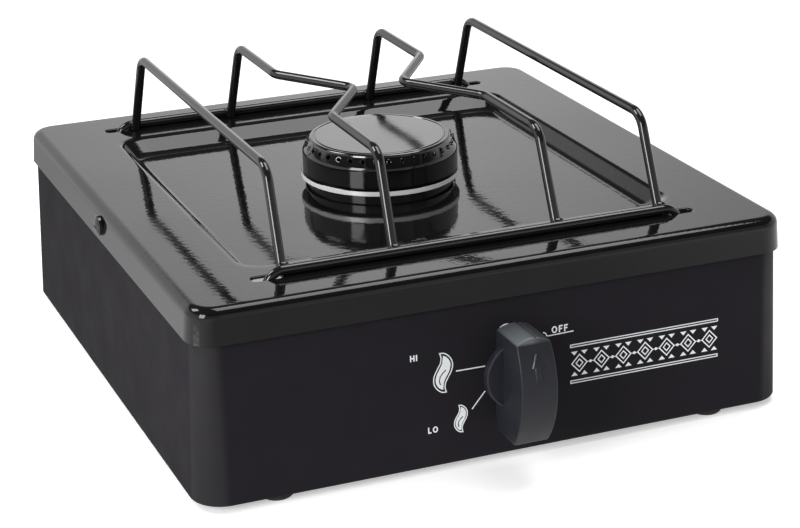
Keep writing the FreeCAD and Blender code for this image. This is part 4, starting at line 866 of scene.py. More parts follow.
# %% The lip and the rim
LID_HALF = (151.995, 156.995)
LIP_Z = 82.0
LIP_LEAN = 1.2 / 17.0
LID_CORNER = 14.0
LID_RIM = 5.0
LIP_SUPPORT = 1.0
DECK_SUPPORT = 0.8
LEAN_LEFT = 0.06
CORNER_LEAST = 8.0


def lid_rings():
    """The lip from its edge up, the rim, and the first stretch of the deck."""
    half_x, half_y = LID_HALF
    turn_z = DECK_Z - LID_RIM
    lean = math.degrees(math.atan(LIP_LEAN))
    drawn = LIP_LEAN * (turn_z - LIP_Z)
    section = [(0.0, LIP_Z), (LIP_LEAN * LIP_SUPPORT, LIP_Z + LIP_SUPPORT)]
    section += [(drawn - LEAN_LEFT, turn_z - LIP_SUPPORT)]
    section += arc_points(drawn + LID_RIM, turn_z, LID_RIM, 180 - lean, 90, 9)
    section += [(drawn + LID_RIM + DECK_SUPPORT, DECK_Z)]
    return [ring(half_x - i, half_y - i, max(LID_CORNER - i, CORNER_LEAST), z) for i, z in section]


# %% The well's wall
WELL_TOP_HALF = (114.3, 112.75)
WELL_TOP_MIDDLE = -1.75
WELL_RUN = (6.3, 12.25)
WELL_CORNER = 15.0
# How much less round the well's corners get for each mm that its wall runs in.
CORNER_LOSS = (0.35, 0.55)
WELL_SLOPE = 45.0
BRINK_RADIUS = 4.5
FLOOR_FILLET = 6.0
# Shares of the run at which flat support rings lie, on the deck and on the well's floor.
FLAT_SHARES = (-0.12, 1.1)


def wall_share():
    """(share of the run, z) down the well's wall, with a rounded brink and a rounded foot."""
    drop = DECK_Z - WELL_FLOOR_Z
    tangent = math.tan(math.radians(WELL_SLOPE / 2))
    brink_r = -BRINK_RADIUS * tangent
    foot_r = drop + FLOOR_FILLET * tangent
    brink = arc_points(brink_r, DECK_Z - BRINK_RADIUS, BRINK_RADIUS, 90, 90 - WELL_SLOPE, 6)
    foot = arc_points(foot_r, WELL_FLOOR_Z + FLOOR_FILLET, FLOOR_FILLET, 270 - WELL_SLOPE, 270, 6)
    start = brink[0][0]
    length = foot[-1][0] - start
    return [((r - start) / length, z) for r, z in brink + foot], length / drop


def well_rings():
    """The well's wall. Its run is short at the sides and long at the front and rear."""
    shares, stretch = wall_share()
    rings = []
    for share, z in [(FLAT_SHARES[0], DECK_Z)] + shares + [(FLAT_SHARES[1], WELL_FLOOR_Z)]:
        runs = [run * stretch * share for run in WELL_RUN]
        half_x, half_y = (half - run for half, run in zip(WELL_TOP_HALF, runs))
        corner = tuple(WELL_CORNER - loss * run for loss, run in zip(CORNER_LOSS, runs))
        rings.append(ring(half_x, half_y, corner, z, WELL_TOP_MIDDLE * (1 - share)))
    return rings


# %% Make the cooktop
def make_cooktop():
    groups = [lid_rings(), well_rings()]
    for side_x, side_y in QUADRANTS:
        groups.append(rolled_edge(lambda r, z: slot_ring(side_x, side_y, r, z), SLOT_RADIUS, DECK_Z))
    groups.append(rolled_edge(round_ring, BURNER_HOLE, WELL_FLOOR_Z))
    rings, faces, starts, lasts = [], [], [], []
    total = 0
    for group in groups:
        starts.append(total)
        faces += lofted(group, total)
        rings += group
        total += len(group) * len(group[0])
        lasts.append(total - len(group[0]))
    lid, well, *slots, hole = groups
    deck_holes = [well[0]] + [slot[0] for slot in slots]
    faces += flat_between(lid[-1], deck_holes, [lasts[0], *starts[1:-1]])
    faces += flat_between(well[-1], [hole[0]], [lasts[1], starts[-1]])
    cooktop = sheet_piece("cooktop_lid", rings, faces, ENAMEL, 60)
    hand_over(cooktop, "stove", "enamel_black", "cooktop")


make_cooktop()

# %% [markdown]
# ## The burner
#
# The cap is a casting with a flat top, a sloping band with 36 flame ports, an upright skirt and a
# spigot that drops into the cup. A section turned about the upright axis makes the body. The
# ports repeat by a rule, so Geometry Nodes place them: a cutting cylinder on each point of a
# circle, cut from the cap in one go, and a small bead where the enamel gathers round each port.

# %% [markdown]
# A Geometry Nodes tree here always starts the same way: a geometry input, named sizes, and a
# geometry output. The modifier's values are set by each socket's identifier before the object is
# evaluated for the first time, and then the evaluated result is kept as a plain mesh.

# %% Helpers for Geometry Nodes
SOCKET_KINDS = {bool: "NodeSocketBool", int: "NodeSocketInt", float: "NodeSocketFloat"}


def size_tree(name, sizes):
    """A tree with a geometry input, named sizes and a geometry output."""
    tree = bpy.data.node_groups.new(name, "GeometryNodeTree")
    tree.interface.new_socket("Geometry", in_out="INPUT", socket_type="NodeSocketGeometry")
    for label, value in sizes.items():
        kind = SOCKET_KINDS.get(type(value), "NodeSocketMaterial")
        tree.interface.new_socket(label, in_out="INPUT", socket_type=kind).default_value = value
    tree.interface.new_socket("Geometry", in_out="OUTPUT", socket_type="NodeSocketGeometry")
    return tree, add(tree, "NodeGroupInput")


def closed_tree(tree, geometry, material):
    """The tree, ended in Realize Instances and Set Material."""
    real = add(tree, "GeometryNodeRealizeInstances", {0: geometry})[0]
    finished = add(tree, "GeometryNodeSetMaterial", {0: real, "Material": material})[0]
    add(tree, "NodeGroupOutput", {0: finished})
    return tree


# %% Nodes that several trees share
def copies(tree, points, piece, **inputs):
    """A copy of the piece on each point."""
    return add(tree, "GeometryNodeInstanceOnPoints", {0: points, "Instance": piece, **inputs})[0]


def shade_smooth(tree, geometry):
    return add(tree, "GeometryNodeSetShadeSmooth", {0: geometry})[0]


def swept_wire(tree, path, radius, sides):
    """A round wire along a curve."""
    section = add(tree, "GeometryNodeCurvePrimitiveCircle", {"Resolution": sides, "Radius": radius})[0]
    wire = add(tree, "GeometryNodeCurveToMesh", {0: path, 1: section, "Fill Caps": True})[0]
    return shade_smooth(tree, wire)


def facing(tree, way):
    """A turn that brings +Z to a direction."""
    return add(tree, "FunctionNodeAlignRotationToVector", {"Vector": way}, axis="Z")[0]


# %% Running a tree
def grown(piece, tree, **sizes):
    """Runs a tree on a piece with the given sizes and keeps the result as a plain mesh."""
    nodes = piece.modifiers.new("nodes", "NODES")
    nodes.node_group = tree
    for item in tree.interface.items_tree:
        label = item.name.lower().replace(" ", "_")
        if item.in_out == "INPUT" and label != "geometry":
            nodes[item.identifier] = sizes.get(label, item.default_value)
    return settled(piece)


# %% The cap's section
CAP_SIDES = 144
CAP_Z = 118.0
CAP_CEILING = 114.6


def cap_section():
    """(r, z) round the cap's section: outside up and over the top, and then inside down."""
    outside = [(34.85, 94.0), (34.85, 99.6), (35.4, 100.0), (40.0, 100.0), (40.4, 100.2)]
    outside += [(40.55, 100.6), (40.55, 101.5), (40.55, 109.4), (40.55, 110.2)]
    outside += [(40.47, 110.8), (40.22, 111.5), (39.9, 112.05), (39.6, 112.5)]
    outside += [(37.3, 116.15), (37.0, 116.6)]
    outside += arc_points(35.6, 116.4, 1.45, 12, 90, 7)[1:]
    outside += [(34.9, 117.9), (34.6, 117.62), (34.2, 117.6), (33.9, 117.85), (33.5, 117.9)]
    outside += [(32.5, 117.9), (20.0, 117.95), (8.0, CAP_Z)]
    within = [(8.0, CAP_CEILING), (20.0, CAP_CEILING), (33.6, CAP_CEILING), (34.6, 113.6)]
    within += [(37.35, 109.0), (37.35, 103.0), (36.4, 102.0), (31.85, 102.0), (31.85, 94.0)]
    return outside, within


# %% The cap's body
def make_cap_body():
    """The cap as one turned shell, closed over its middle at the top and underneath."""
    outside, within = cap_section()
    rings = [round_ring(r, z, CAP_SIDES) for r, z in outside + within]
    low = len(outside) * CAP_SIDES
    high = low - CAP_SIDES
    faces = lofted(rings[: len(outside)]) + lofted(rings[len(outside) :], low)
    faces += quads((len(rings) - 1) * CAP_SIDES, 0, CAP_SIDES)
    top = len(rings) * CAP_SIDES
    for k in range(CAP_SIDES):
        after = (k + 1) % CAP_SIDES
        faces.append((high + k, high + after, top))
        faces.append((low + after, low + k, top + 1))
    middles = [(0, 0, CAP_Z), (0, 0, CAP_CEILING)]
    return new_piece("cap_enamelled", rings + [middles], faces, CAP_ENAMEL)


# %% The cap's ports
PORT_SIZES = {
    "Count": 36,
    "First Port": math.radians(5.4),
    "Port Radius": 0.0011,
    "Port Depth": 0.014,
    "Port Height": 0.1145,
    "Band Radius": 0.0384,
    "Band Tilt": 0.566,
    "Bead Radius": 0.00128,
    "Bead": 0.00028,
    "Material": CAP_ENAMEL,
}
PORT_SIDES = 16
BEAD_SIDES = 6


def ports_tree():
    """Cuts a ring of level ports from the cap and lays a bead round each of them."""
    tree, given = size_tree("flame_ports", PORT_SIZES)
    sizes = {"Vertices": given["Count"], "Radius": given["Band Radius"]}
    row = add(tree, "GeometryNodeMeshCircle", sizes)[0]
    lift = joined(tree, z=given["Port Height"])
    start = joined(tree, z=given["First Port"])
    move = {0: row, "Translation": lift, "Rotation": start}
    spots = add(tree, "GeometryNodeTransform", move)[0]
    x, y, _ = split(tree, add(tree, "GeometryNodeInputPosition")[0])
    level = facing(tree, joined(tree, x, y))
    sizes = {"Vertices": PORT_SIDES, "Radius": given["Port Radius"], "Depth": given["Port Depth"]}
    drill = add(tree, "GeometryNodeMeshCylinder", sizes)[0]
    drills = copies(tree, spots, drill, Rotation=level)
    drilled = add(tree, "GeometryNodeRealizeInstances", {0: drills})[0]
    parts = {0: given["Geometry"], 1: drilled}
    bored = add(tree, "GeometryNodeMeshBoolean", parts, operation="DIFFERENCE")[0]
    loop = {"Resolution": PORT_SIDES, "Radius": given["Bead Radius"]}
    path = add(tree, "GeometryNodeCurvePrimitiveCircle", loop)[0]
    bead = swept_wire(tree, path, given["Bead"], BEAD_SIDES)
    tilt = add(tree, "FunctionNodeEulerToRotation", {0: joined(tree, y=given["Band Tilt"])})[0]
    leaning = add(tree, "FunctionNodeRotateRotation", {0: level, 1: tilt}, rotation_space="LOCAL")[0]
    beads = copies(tree, spots, bead, Rotation=leaning)
    whole = add(tree, "GeometryNodeJoinGeometry", {0: [bored, beads]})[0]
    return closed_tree(tree, whole, given["Material"])


cap = sharpened(grown(make_cap_body(), ports_tree()), 40)
hand_over(cap, "burner_cap", "enamel_black", "burner_cap")

# %% [markdown]
# The burner's cup hangs through the hole in the well's floor. It is a casting too, and only its
# bright rim shows under the cap. One closed section turned about the upright axis makes all of
# it, because it is round everywhere.

# %% The cup
CUP_SIDES = 120
CUP_SECTION = [(38.0, 75.0), (38.0, 96.8), (38.3, 97.2), (41.2, 97.2), (41.5, 97.5), (41.5, 99.7)]
CUP_SECTION += [(41.2, 100.0), (35.4, 100.0), (35.0, 99.6), (35.0, 80.0), (34.0, 77.0), (31.0, 75.5)]
CUP_SECTION += [(8.5, 75.0), (8.5, 67.5), (13.5, 67.5), (14.0, 68.0), (14.0, 71.3), (14.8, 72.0)]
CUP_SECTION += [(33.0, 72.0), (36.2, 72.8)]
cup_rings = [round_ring(r, z, CUP_SIDES) for r, z in CUP_SECTION]
cup = sharpened(new_piece("cup_cast", cup_rings, lofted(cup_rings, closed=True), TURNED_METAL), 35)
hand_over(cup, "stove", "burner_metal", "burner_cup")

# %% [markdown]
# ## The grate
#
# The grate is bent from round wire: two rails whose ends drop into the deck's slots, and four
# wires that stand on them. A wire follows a path of a few corners, each rounded by a bending
# tool. Geometry Nodes do just that: Fillet Curve rounds every corner by the radius stored on it,
# and Curve to Mesh sweeps a circle along. Points beside each bend keep the straight stretches
# straight in the shading.

# %% The wire tree
WIRE_RADIUS = 2.4
WIRE_SIDES = 28
BEND_STEPS = 14
BEND_SUPPORT = 0.7


def wire_tree():
    """Rounds the corners of a path by the bend stored on each point, and sweeps the wire."""
    tree, given = size_tree("bent_wire", {"Wire Radius": WIRE_RADIUS * MM, "Material": GRATE_ENAMEL})
    path = add(tree, "GeometryNodeMeshToCurve", {0: given["Geometry"]})[0]
    bend = add(tree, "GeometryNodeInputNamedAttribute", {"Name": "bend"}, data_type="FLOAT")[0]
    rounding = {0: path, "Count": BEND_STEPS, "Radius": bend}
    soft = add(tree, "GeometryNodeFilletCurve", rounding, mode="POLY")[0]
    wire = swept_wire(tree, soft, given["Wire Radius"], WIRE_SIDES)
    return closed_tree(tree, wire, given["Material"])


WIRE_TREE = wire_tree()


# %% From corners to a wire
def wire_path(corners):
    """From (place, bend) corners, the same with a straight point on both sides of each bend."""
    path = [corners[0]]
    for before, (place, bend), after in zip(corners, corners[1:], corners[2:]):
        inward = (Vector(before[0]) - Vector(place)).normalized()
        onward = (Vector(after[0]) - Vector(place)).normalized()
        reach = bend * math.tan((math.pi - inward.angle(onward)) / 2) + BEND_SUPPORT
        path.append((Vector(place) + inward * reach, 0.0))
        path.append((place, bend))
        path.append((Vector(place) + onward * reach, 0.0))
    path.append(corners[-1])
    return path


def make_wire(name, corners, node):
    path = wire_path(corners)
    edges = [(k, k + 1) for k in range(len(path) - 1)]
    mesh = plain_mesh(name, [place for place, _ in path], edges)
    bends = mesh.attributes.new("bend", "FLOAT", "POINT")
    for k, (_, bend) in enumerate(path):
        bends.data[k].value = bend * MM
    wire = sharpened(grown(new_object(name, mesh, GRATE_ENAMEL), WIRE_TREE), 50)
    hand_over(wire, "grate", "black_steel", node)


# %% [markdown]
# A rail is a straight wire with both ends turned down, which drop into slots of the deck. They
# keep the grate from sliding, and it still lifts straight off.

# %% The rails
RAIL_X = 107.0
RAIL_Y = 127.0
RAIL_Z = 101.45
RAIL_DROP = 11.0
RAIL_BEND = 9.0

for side_y, rail in ((-1, "front_rail"), (1, "rear_rail")):
    left = [(-RAIL_X, RAIL_DROP, 0.0), (-RAIL_X, 0.0, RAIL_BEND)]
    right = [(-x, drop, bend) for x, drop, bend in reversed(left)]
    corners = [((x, side_y * RAIL_Y, RAIL_Z - drop), bend) for x, drop, bend in left + right]
    make_wire(rail + "_wire", corners, rail)


# %% [markdown]
# A pot stands on the four wires. The outer two are plain bridges. The inner two turn in towards
# the burner to carry a small pot. Each is the same to the front and to the rear, so only its front
# half is written, and the rear half is its mirror image.

# %% The wires
FOOT_Y = 122.8
FOOT_Z = 100.25
TOP_Y = 104.0
TOP_Z = 144.3
OUTER_X = 97.0
INNER_X = 41.5
SPLAY = 0.8
BEND_Y = 42.6
APEX_X = 12.85
WIRE_BEND = 11.0
APEX_BEND = 9.0
# Where an inner wire turns: how far out it is, how far forward, and the bend there.
INNER_TURNS = ((INNER_X, BEND_Y, WIRE_BEND), (APEX_X, 0.0, APEX_BEND))


def from_foot_to_foot(side_x, reach, *inner):
    """The corners of a wire: its front half and then the same one mirrored to the rear."""
    x = side_x * reach
    front = [((side_x * (reach + SPLAY), -FOOT_Y, FOOT_Z), 0.0), ((x, -TOP_Y, TOP_Z), WIRE_BEND)]
    front += [((side_x * inner_x, -y, TOP_Z), bend) for inner_x, y, bend in inner]
    rear = [((px, -py, pz), bend) for (px, py, pz), bend in reversed(front) if py]
    return front + rear


for side_x, side in ((-1, "left"), (1, "right")):
    make_wire(side + "_outer_bent", from_foot_to_foot(side_x, OUTER_X), side + "_outer_wire")
    inner = from_foot_to_foot(side_x, INNER_X, *INNER_TURNS)
    make_wire(side + "_inner_bent", inner, side + "_inner_wire")

# %% [markdown]
# Every upright is resistance welded to its rail, which leaves a small squeezed collar that the
# enamel rounds off. There are eight of them, so a tree puts one on each weld point.

# %% Weld collars
COLLAR_STRETCH = (1.5, 0.9, 0.9)
COLLAR_LUMPS = {"Scale": 700.0, "Detail": 1.0}
# How far a collar's middle is drawn in from the upright's foot and raised over the rail's axis.
COLLAR_SHIFT = (0.05, 2.2, 1.5)


def weld_tree():
    """A flattened collar with a rough edge on every point."""
    sizes = {"Collar Radius": 0.0017, "Spread": 0.0007, "Material": GRATE_ENAMEL}
    tree, given = size_tree("weld_collars", sizes)
    ball = {"Radius": given["Collar Radius"], "Subdivisions": 3}
    blob = add(tree, "GeometryNodeMeshIcoSphere", ball)[0]
    lump = add(tree, "ShaderNodeTexNoise", COLLAR_LUMPS)[0]
    swell = maths(tree, "MULTIPLY", lump, given["Spread"])
    outwards = {0: add(tree, "GeometryNodeInputNormal")[0], "Scale": swell}
    push = add(tree, "ShaderNodeVectorMath", outwards, operation="SCALE")[0]
    rough = add(tree, "GeometryNodeSetPosition", {0: blob, "Offset": push})[0]
    collars = copies(tree, given["Geometry"], shade_smooth(tree, rough), Scale=COLLAR_STRETCH)
    return closed_tree(tree, collars, given["Material"])


def make_welds():
    in_x, in_y, up = COLLAR_SHIFT
    uprights = [(reach + SPLAY, side_x) for reach in (OUTER_X, INNER_X) for side_x in (-1, 1)]
    spots = [
        (side_x * (reach - in_x), side_y * (RAIL_Y - in_y), RAIL_Z + up)
        for reach, side_x in uprights
        for side_y in (-1, 1)
    ]
    points = new_object("weld_collars", plain_mesh("weld_collars", spots), GRATE_ENAMEL)
    hand_over(grown(points, weld_tree()), "grate", "black_steel")


make_welds()

# %% [markdown]
# The stem's spring is a coil of steel wire between the valve's plug and the stem's collar. Pushing
# the knob in shortens it. It is wound again here: Geometry Nodes sweep a wire along a helix in the
# place of the imported coil.

# %% The stem's spring
SPRING_WIRE = 0.45
SPRING_TURNS = 4.0
SPRING_STEPS = 32
SPRING_SIDES = 12


def spring_tree():
    """A round wire swept along a helix that stands on the origin."""
    sizes = {"Coil Radius": 0.005, "Rise": 0.01, "Wire Radius": SPRING_WIRE * MM}
    tree, given = size_tree("wound_spring", {**sizes, "Material": SPRING_STEEL})
    helix = {"Resolution": SPRING_STEPS, "Rotations": SPRING_TURNS, "Height": given["Rise"]}
    ends = {end + " Radius": given["Coil Radius"] for end in ("Start", "End")}
    coil = add(tree, "GeometryNodeCurveSpiral", {**helix, **ends})[0]
    wire = swept_wire(tree, coil, given["Wire Radius"], SPRING_SIDES)
    return closed_tree(tree, wire, given["Material"])


def make_spring():
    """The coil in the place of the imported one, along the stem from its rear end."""
    low, high = (Vector(corner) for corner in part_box("stem_spring"))
    wire = SPRING_WIRE * MM
    middle = (low + high) / 2
    length = high.y - low.y
    start = new_object("spring_wound", plain_mesh("spring_wound", []), SPRING_STEEL)
    radius = (high.x - low.x) / 2 - wire
    spring = grown(start, spring_tree(), coil_radius=radius, rise=length - 2 * wire)
    along_stem = ((1, 0, 0, middle.x), (0, 0, -1, high.y - wire), (0, 1, 0, middle.z), (0, 0, 0, 1))
    spring.data.transform(Matrix(along_stem))
    hand_over(sharpened(spring, 50), "valve_plug", "spring_steel", "stem_spring")
    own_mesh(spring)
    print("spring length in mm:", round(length / MM, 2))


make_spring()

# %% [markdown]
# ## The knob
#
# The knob is moulded in one piece: a tall bar with a crowned face, across a round disc. The bar's
# outline from the front has an arched top, slightly swelling sides and a straight foot. Copies of
# that outline, one behind the other, make the bar, and the last few are drawn in to round its
# front edge. The outline is the same left and right, so the face is closed by rows across it, and
# each row follows the crown. The disc is turned, the raised arrow is a thin strip that follows
# the crown too, and a fine pointer groove is cut over the upper end. A Boolean makes the bar and
# the disc one solid, as the mould would, and the arrow stands on the face as a piece of its own
# finish.

# %% The bar's outline
KNOB_UP = 21.0
KNOB_ARCH = 2.2
KNOB_DOWN = 29.8
KNOB_BACK = 8.2
KNOB_FRONT = 37.6
CROWN_RADIUS = 42.6
CROWN_MIDDLE = -2.8
KNOB_END = 8.6
KNOB_WAIST = 9.1
KNOB_EDGE = 0.75
KNOB_CORNER = 1.0
CORNER_SUPPORT = 0.8
SIDE_ROWS = 14
PANEL_Y = -156.298


def knob_face(up):
    """How far the crowned face stands in front of the panel at a height above the axis."""
    along = up - CROWN_MIDDLE
    return KNOB_FRONT - CROWN_RADIUS + math.sqrt(CROWN_RADIUS**2 - along**2)


def at_knob(across, up, out):
    """From the knob's own directions to the stove's: out is in front of the panel."""
    return (across, PANEL_Y - out, STEM_Z + up)


def bar_half_outline():
    """(across, up) points up the right half of the bar's outline, from its foot to its top."""
    half = (KNOB_UP + KNOB_DOWN) / 2
    middle = (KNOB_UP - KNOB_DOWN) / 2
    corner_x = KNOB_END - KNOB_CORNER
    points = [(0.0, -KNOB_DOWN), (corner_x - 1.0, -KNOB_DOWN)]
    points += arc_points(corner_x, KNOB_CORNER - KNOB_DOWN, KNOB_CORNER, -90, -3, 6)
    arch_radius = (KNOB_END**2 + KNOB_ARCH**2) / (2 * KNOB_ARCH)
    arch_up = KNOB_UP + KNOB_ARCH - arch_radius
    corner_up = arch_up + math.sqrt((arch_radius - KNOB_CORNER) ** 2 - corner_x**2)
    low = KNOB_CORNER - KNOB_DOWN + CORNER_SUPPORT
    high = corner_up - CORNER_SUPPORT
    for k in range(SIDE_ROWS + 1):
        up = low + (high - low) * k / SIDE_ROWS
        along = (up - middle) / half
        points.append((KNOB_WAIST - (KNOB_WAIST - KNOB_END) * along * along, up))
    turn = math.degrees(math.atan2(corner_up - arch_up, corner_x))
    points += arc_points(corner_x, corner_up, KNOB_CORNER, 3, turn, 6)
    return points + arc_points(0.0, arch_up, arch_radius, turn, 90, 7)[1:]


# %% The bar
EDGE_ROWS = 6
BACK_EDGE = 0.3
BACK_SUPPORT = 1.0


def make_knob_bar():
    """The bar from its half outline, drawn in towards the front edge, with a crowned face."""
    half = bar_half_outline()
    outline = [Vector(p) for p in half] + [Vector((-x, up)) for x, up in half[-2:0:-1]]
    rings = [[at_knob(p.x, p.y, KNOB_BACK) for p in inset(outline, BACK_EDGE)]]
    for out in (BACK_EDGE, BACK_EDGE + BACK_SUPPORT):
        rings.append([at_knob(p.x, p.y, KNOB_BACK + out) for p in outline])
    rings.append([at_knob(p.x, p.y, knob_face(p.y) - KNOB_EDGE - CORNER_SUPPORT) for p in outline])
    for k in range(EDGE_ROWS + 1):
        turn = math.radians(90 * k / EDGE_ROWS)
        drawn = inset(outline, KNOB_EDGE * (1 - math.cos(turn)))
        lower = KNOB_EDGE * (1 - math.sin(turn))
        rings.append([at_knob(p.x, p.y, knob_face(p.y) - lower) for p in drawn])
    faces = lofted(rings)
    whole = len(outline)
    last = (len(rings) - 1) * whole
    for k in range(len(half) - 1):
        row = list(dict.fromkeys([k, k + 1, (whole - k - 1) % whole, (whole - k) % whole]))
        faces.append(tuple(row))
        faces.append(tuple(last + j for j in reversed(row)))
    return new_piece("knob_moulded", rings, faces, KNOB_PLASTIC)


# %% The disc
DISC_SECTION = [(8.2, 6.0), (8.5, 6.3), (8.5, 8.2), (14.2, 12.6), (16.8, 12.6), (17.2, 13.0)]
DISC_SECTION += [(17.2, 15.7), (17.0, 16.2), (16.4, 16.6)]
DISC_SIDES = 96


def make_disc():
    """The disc and boss, turned about the knob's axis and closed at both ends."""
    rings = [[at_knob(x, up, out) for x, up in circle(DISC_SIDES, r)] for r, out in DISC_SECTION]
    return solid("knob_disc", rings, KNOB_PLASTIC)


# %% The arrow
ARROW_TAIL = 4.5
ARROW_NECK = 11.0
ARROW_TIP = 17.0
ARROW_SHAFT = 1.5
ARROW_BARB = 2.7
ARROW_POINT = 0.03
ARROW_HEIGHT = 0.5
ARROW_SINK = 0.4
ARROW_SLOPE = 0.1
FOOT_OUT = 0.02
NECK_STEP = 0.001
SHAFT_ROWS = 8
BARB_ROWS = 6


def make_arrow():
    """A raised arrow that follows the crown, as rows of points across it."""
    shaft = [k / SHAFT_ROWS for k in range(SHAFT_ROWS + 1)]
    rows = [(ARROW_TAIL + share * (ARROW_NECK - ARROW_TAIL), ARROW_SHAFT) for share in shaft]
    rows.append((ARROW_NECK + NECK_STEP, ARROW_BARB))
    for k in range(1, BARB_ROWS + 1):
        share = k / BARB_ROWS
        up = ARROW_NECK + share * (ARROW_TIP - ARROW_NECK)
        rows.append((up, ARROW_BARB * (1 - share) + ARROW_POINT))
    rings = []
    for up, half in rows:
        foot = half + ARROW_SINK
        top = max(half - ARROW_SLOPE, FOOT_OUT)
        section = [(-foot, -ARROW_SINK), (foot, -ARROW_SINK), (foot, FOOT_OUT)]
        section += [(top, ARROW_HEIGHT), (-top, ARROW_HEIGHT), (-foot, FOOT_OUT)]
        rings.append([at_knob(across, up, knob_face(up) + out) for across, out in section])
    return solid("knob_arrow", rings, ARROW_PLASTIC)


# %% Putting the knob together
# The groove in the upper end: where it runs across the bar, and how deep and how high it goes.
GROOVE_SIDES = (0.9, 2.0)
GROOVE_DEPTH = 0.5
GROOVE_OUT = (7.0, 42.0)
GROOVE_OVER = 2.0
STEM_BORE = 4.05
BORE_DEPTH = 24.0
BORE_OUT = 26.0


def box_tool(name, low, high):
    """A closed box between two corners, as a cutting tool."""
    (x0, y0, z0), (x1, y1, z1) = low, high
    rings = [[(x0, y0, z), (x1, y0, z), (x1, y1, z), (x0, y1, z)] for z in (z0, z1)]
    return solid(name, rings, KNOB_PLASTIC)


def outward(piece):
    """Turns a closed mesh's faces outwards."""
    work = bmesh.new()
    work.from_mesh(piece.data)
    bmesh.ops.remove_doubles(work, verts=work.verts, dist=1e-7)
    bmesh.ops.recalc_face_normals(work, faces=work.faces)
    work.to_mesh(piece.data)
    work.free()
    return piece


def make_knob():
    knob = outward(make_knob_bar())
    cut(knob, [outward(make_disc())], "UNION")
    top = KNOB_UP + KNOB_ARCH
    low = at_knob(GROOVE_SIDES[0], top - GROOVE_DEPTH, GROOVE_OUT[1])
    high = at_knob(GROOVE_SIDES[1], top + GROOVE_OVER, GROOVE_OUT[0])
    bore = cylinder("bore", STEM_BORE, (0, PANEL_Y - BORE_OUT, STEM_Z), (0, 1, 0), BORE_DEPTH)
    cut(knob, [outward(box_tool("groove", low, high)), bore], sharp=32)
    settled(modified(knob, "WEIGHTED_NORMAL", keep_sharp=True))
    hand_over(knob, "knob", "knob_plastic", "knob")
    hand_over(settled(outward(make_arrow()), 20), "knob", "knob_plastic")


make_knob()

# %% [markdown]
# ## Screws at the sides
#
# A slotted pan-head screw on each side holds the cooktop down. One tree makes the screw from its
# sizes: a short cylinder rounded over by a flattened ball, a slot cut across, and a shank. It puts
# a copy on each of the two points, turned so that its head faces outwards.

# %% The screw tree
SCREW_SIZES = {
    "Head Radius": 0.0052,
    "Head Height": 0.003,
    "Slot Width": 0.0013,
    "Slot Length": 0.03,
    "Slot Depth": 0.0014,
    "Shank Radius": 0.002,
    "Shank Length": 0.010,
    "Material": GRATE_ENAMEL,
}
HEAD_SIDES = 40
BALL_ROWS = 28
BALL_STRETCH = 1.12
SHANK_SIDES = 24
SHANK_SHIFT = -0.49


def screw_tree():
    """A pan-head screw along Z on each point, turned to the direction stored on the point."""
    tree, given = size_tree("pan_screw", SCREW_SIZES)

    def raised_by(geometry, amount, factor):
        move = joined(tree, z=maths(tree, "MULTIPLY", amount, factor))
        return add(tree, "GeometryNodeTransform", {0: geometry, "Translation": move})[0]

    def boolean(operation, inputs):
        return add(tree, "GeometryNodeMeshBoolean", inputs, operation=operation)[0]

    def rod(sides, radius, depth):
        sizes = {"Vertices": sides, "Radius": radius, "Depth": depth}
        return add(tree, "GeometryNodeMeshCylinder", sizes)[0]

    radius, height = given["Head Radius"], given["Head Height"]
    head = raised_by(rod(HEAD_SIDES, radius, height), height, 0.5)
    round_sizes = {"Segments": HEAD_SIDES, "Rings": BALL_ROWS, "Radius": radius}
    ball = add(tree, "GeometryNodeMeshUVSphere", round_sizes)[0]
    flat = joined(tree, BALL_STRETCH, BALL_STRETCH, maths(tree, "DIVIDE", height, radius))
    dome = add(tree, "GeometryNodeTransform", {0: ball, "Scale": flat})[0]
    size = joined(tree, given["Slot Width"], given["Slot Length"], given["Slot Depth"])
    cutter = raised_by(add(tree, "GeometryNodeMeshCube", {"Size": size})[0], height, 1.0)
    slotted = boolean("DIFFERENCE", {0: boolean("INTERSECT", {1: [head, dome]}), 1: cutter})
    length = given["Shank Length"]
    shank = raised_by(rod(SHANK_SIDES, given["Shank Radius"], length), length, SHANK_SHIFT)
    screw = boolean("UNION", {1: [slotted, shank]})
    way = add(tree, "GeometryNodeInputNamedAttribute", {"Name": "way"}, data_type="FLOAT_VECTOR")[0]
    screws = copies(tree, given["Geometry"], screw, Rotation=facing(tree, way))
    return closed_tree(tree, screws, given["Material"])


# %% A screw at each side
HEAD_SEAT_X = 151.63


def make_screws():
    mesh = plain_mesh("side_screws", [(side * HEAD_SEAT_X, 0, SIDE_SCREW_Z) for side in (-1, 1)])
    ways = mesh.attributes.new("way", "FLOAT_VECTOR", "POINT")
    for k, side in enumerate((-1, 1)):
        ways.data[k].vector = (side, 0, 0)
    screws = grown(new_object("side_screws", mesh, GRATE_ENAMEL), screw_tree())
    screws.data.shade_smooth()
    hand_over(sharpened(screws, 32), "stove", "body_black", "cooktop_screws")


make_screws()

# %% [markdown]
# ## The white prints
#
# The marks on the front panel are screen printed, so each is a very thin raised layer on the
# leaning panel. Flat outlines make them: a filled 2D curve leaves out what lies inside an even
# number of outlines, which gives rings and cut-outs for free. Each mark is turned into a mesh
# first and then set on the panel. The words are generic ones for a gas control, and their
# letters are straight strokes and ovals, as a screen print of this size shows them.

# %% Setting flat marks on the panel
PRINT_HEIGHT = 0.05
PANEL_LEAN = math.atan(HOUSING_FLARE / (HOUSING_TOP - BASE_Z))


def on_panel(x, z):
    """The flat mark coordinates, x to the right and y up, of a point on the panel in mm."""
    return Vector((x, (z - BASE_Z) / math.cos(PANEL_LEAN)))


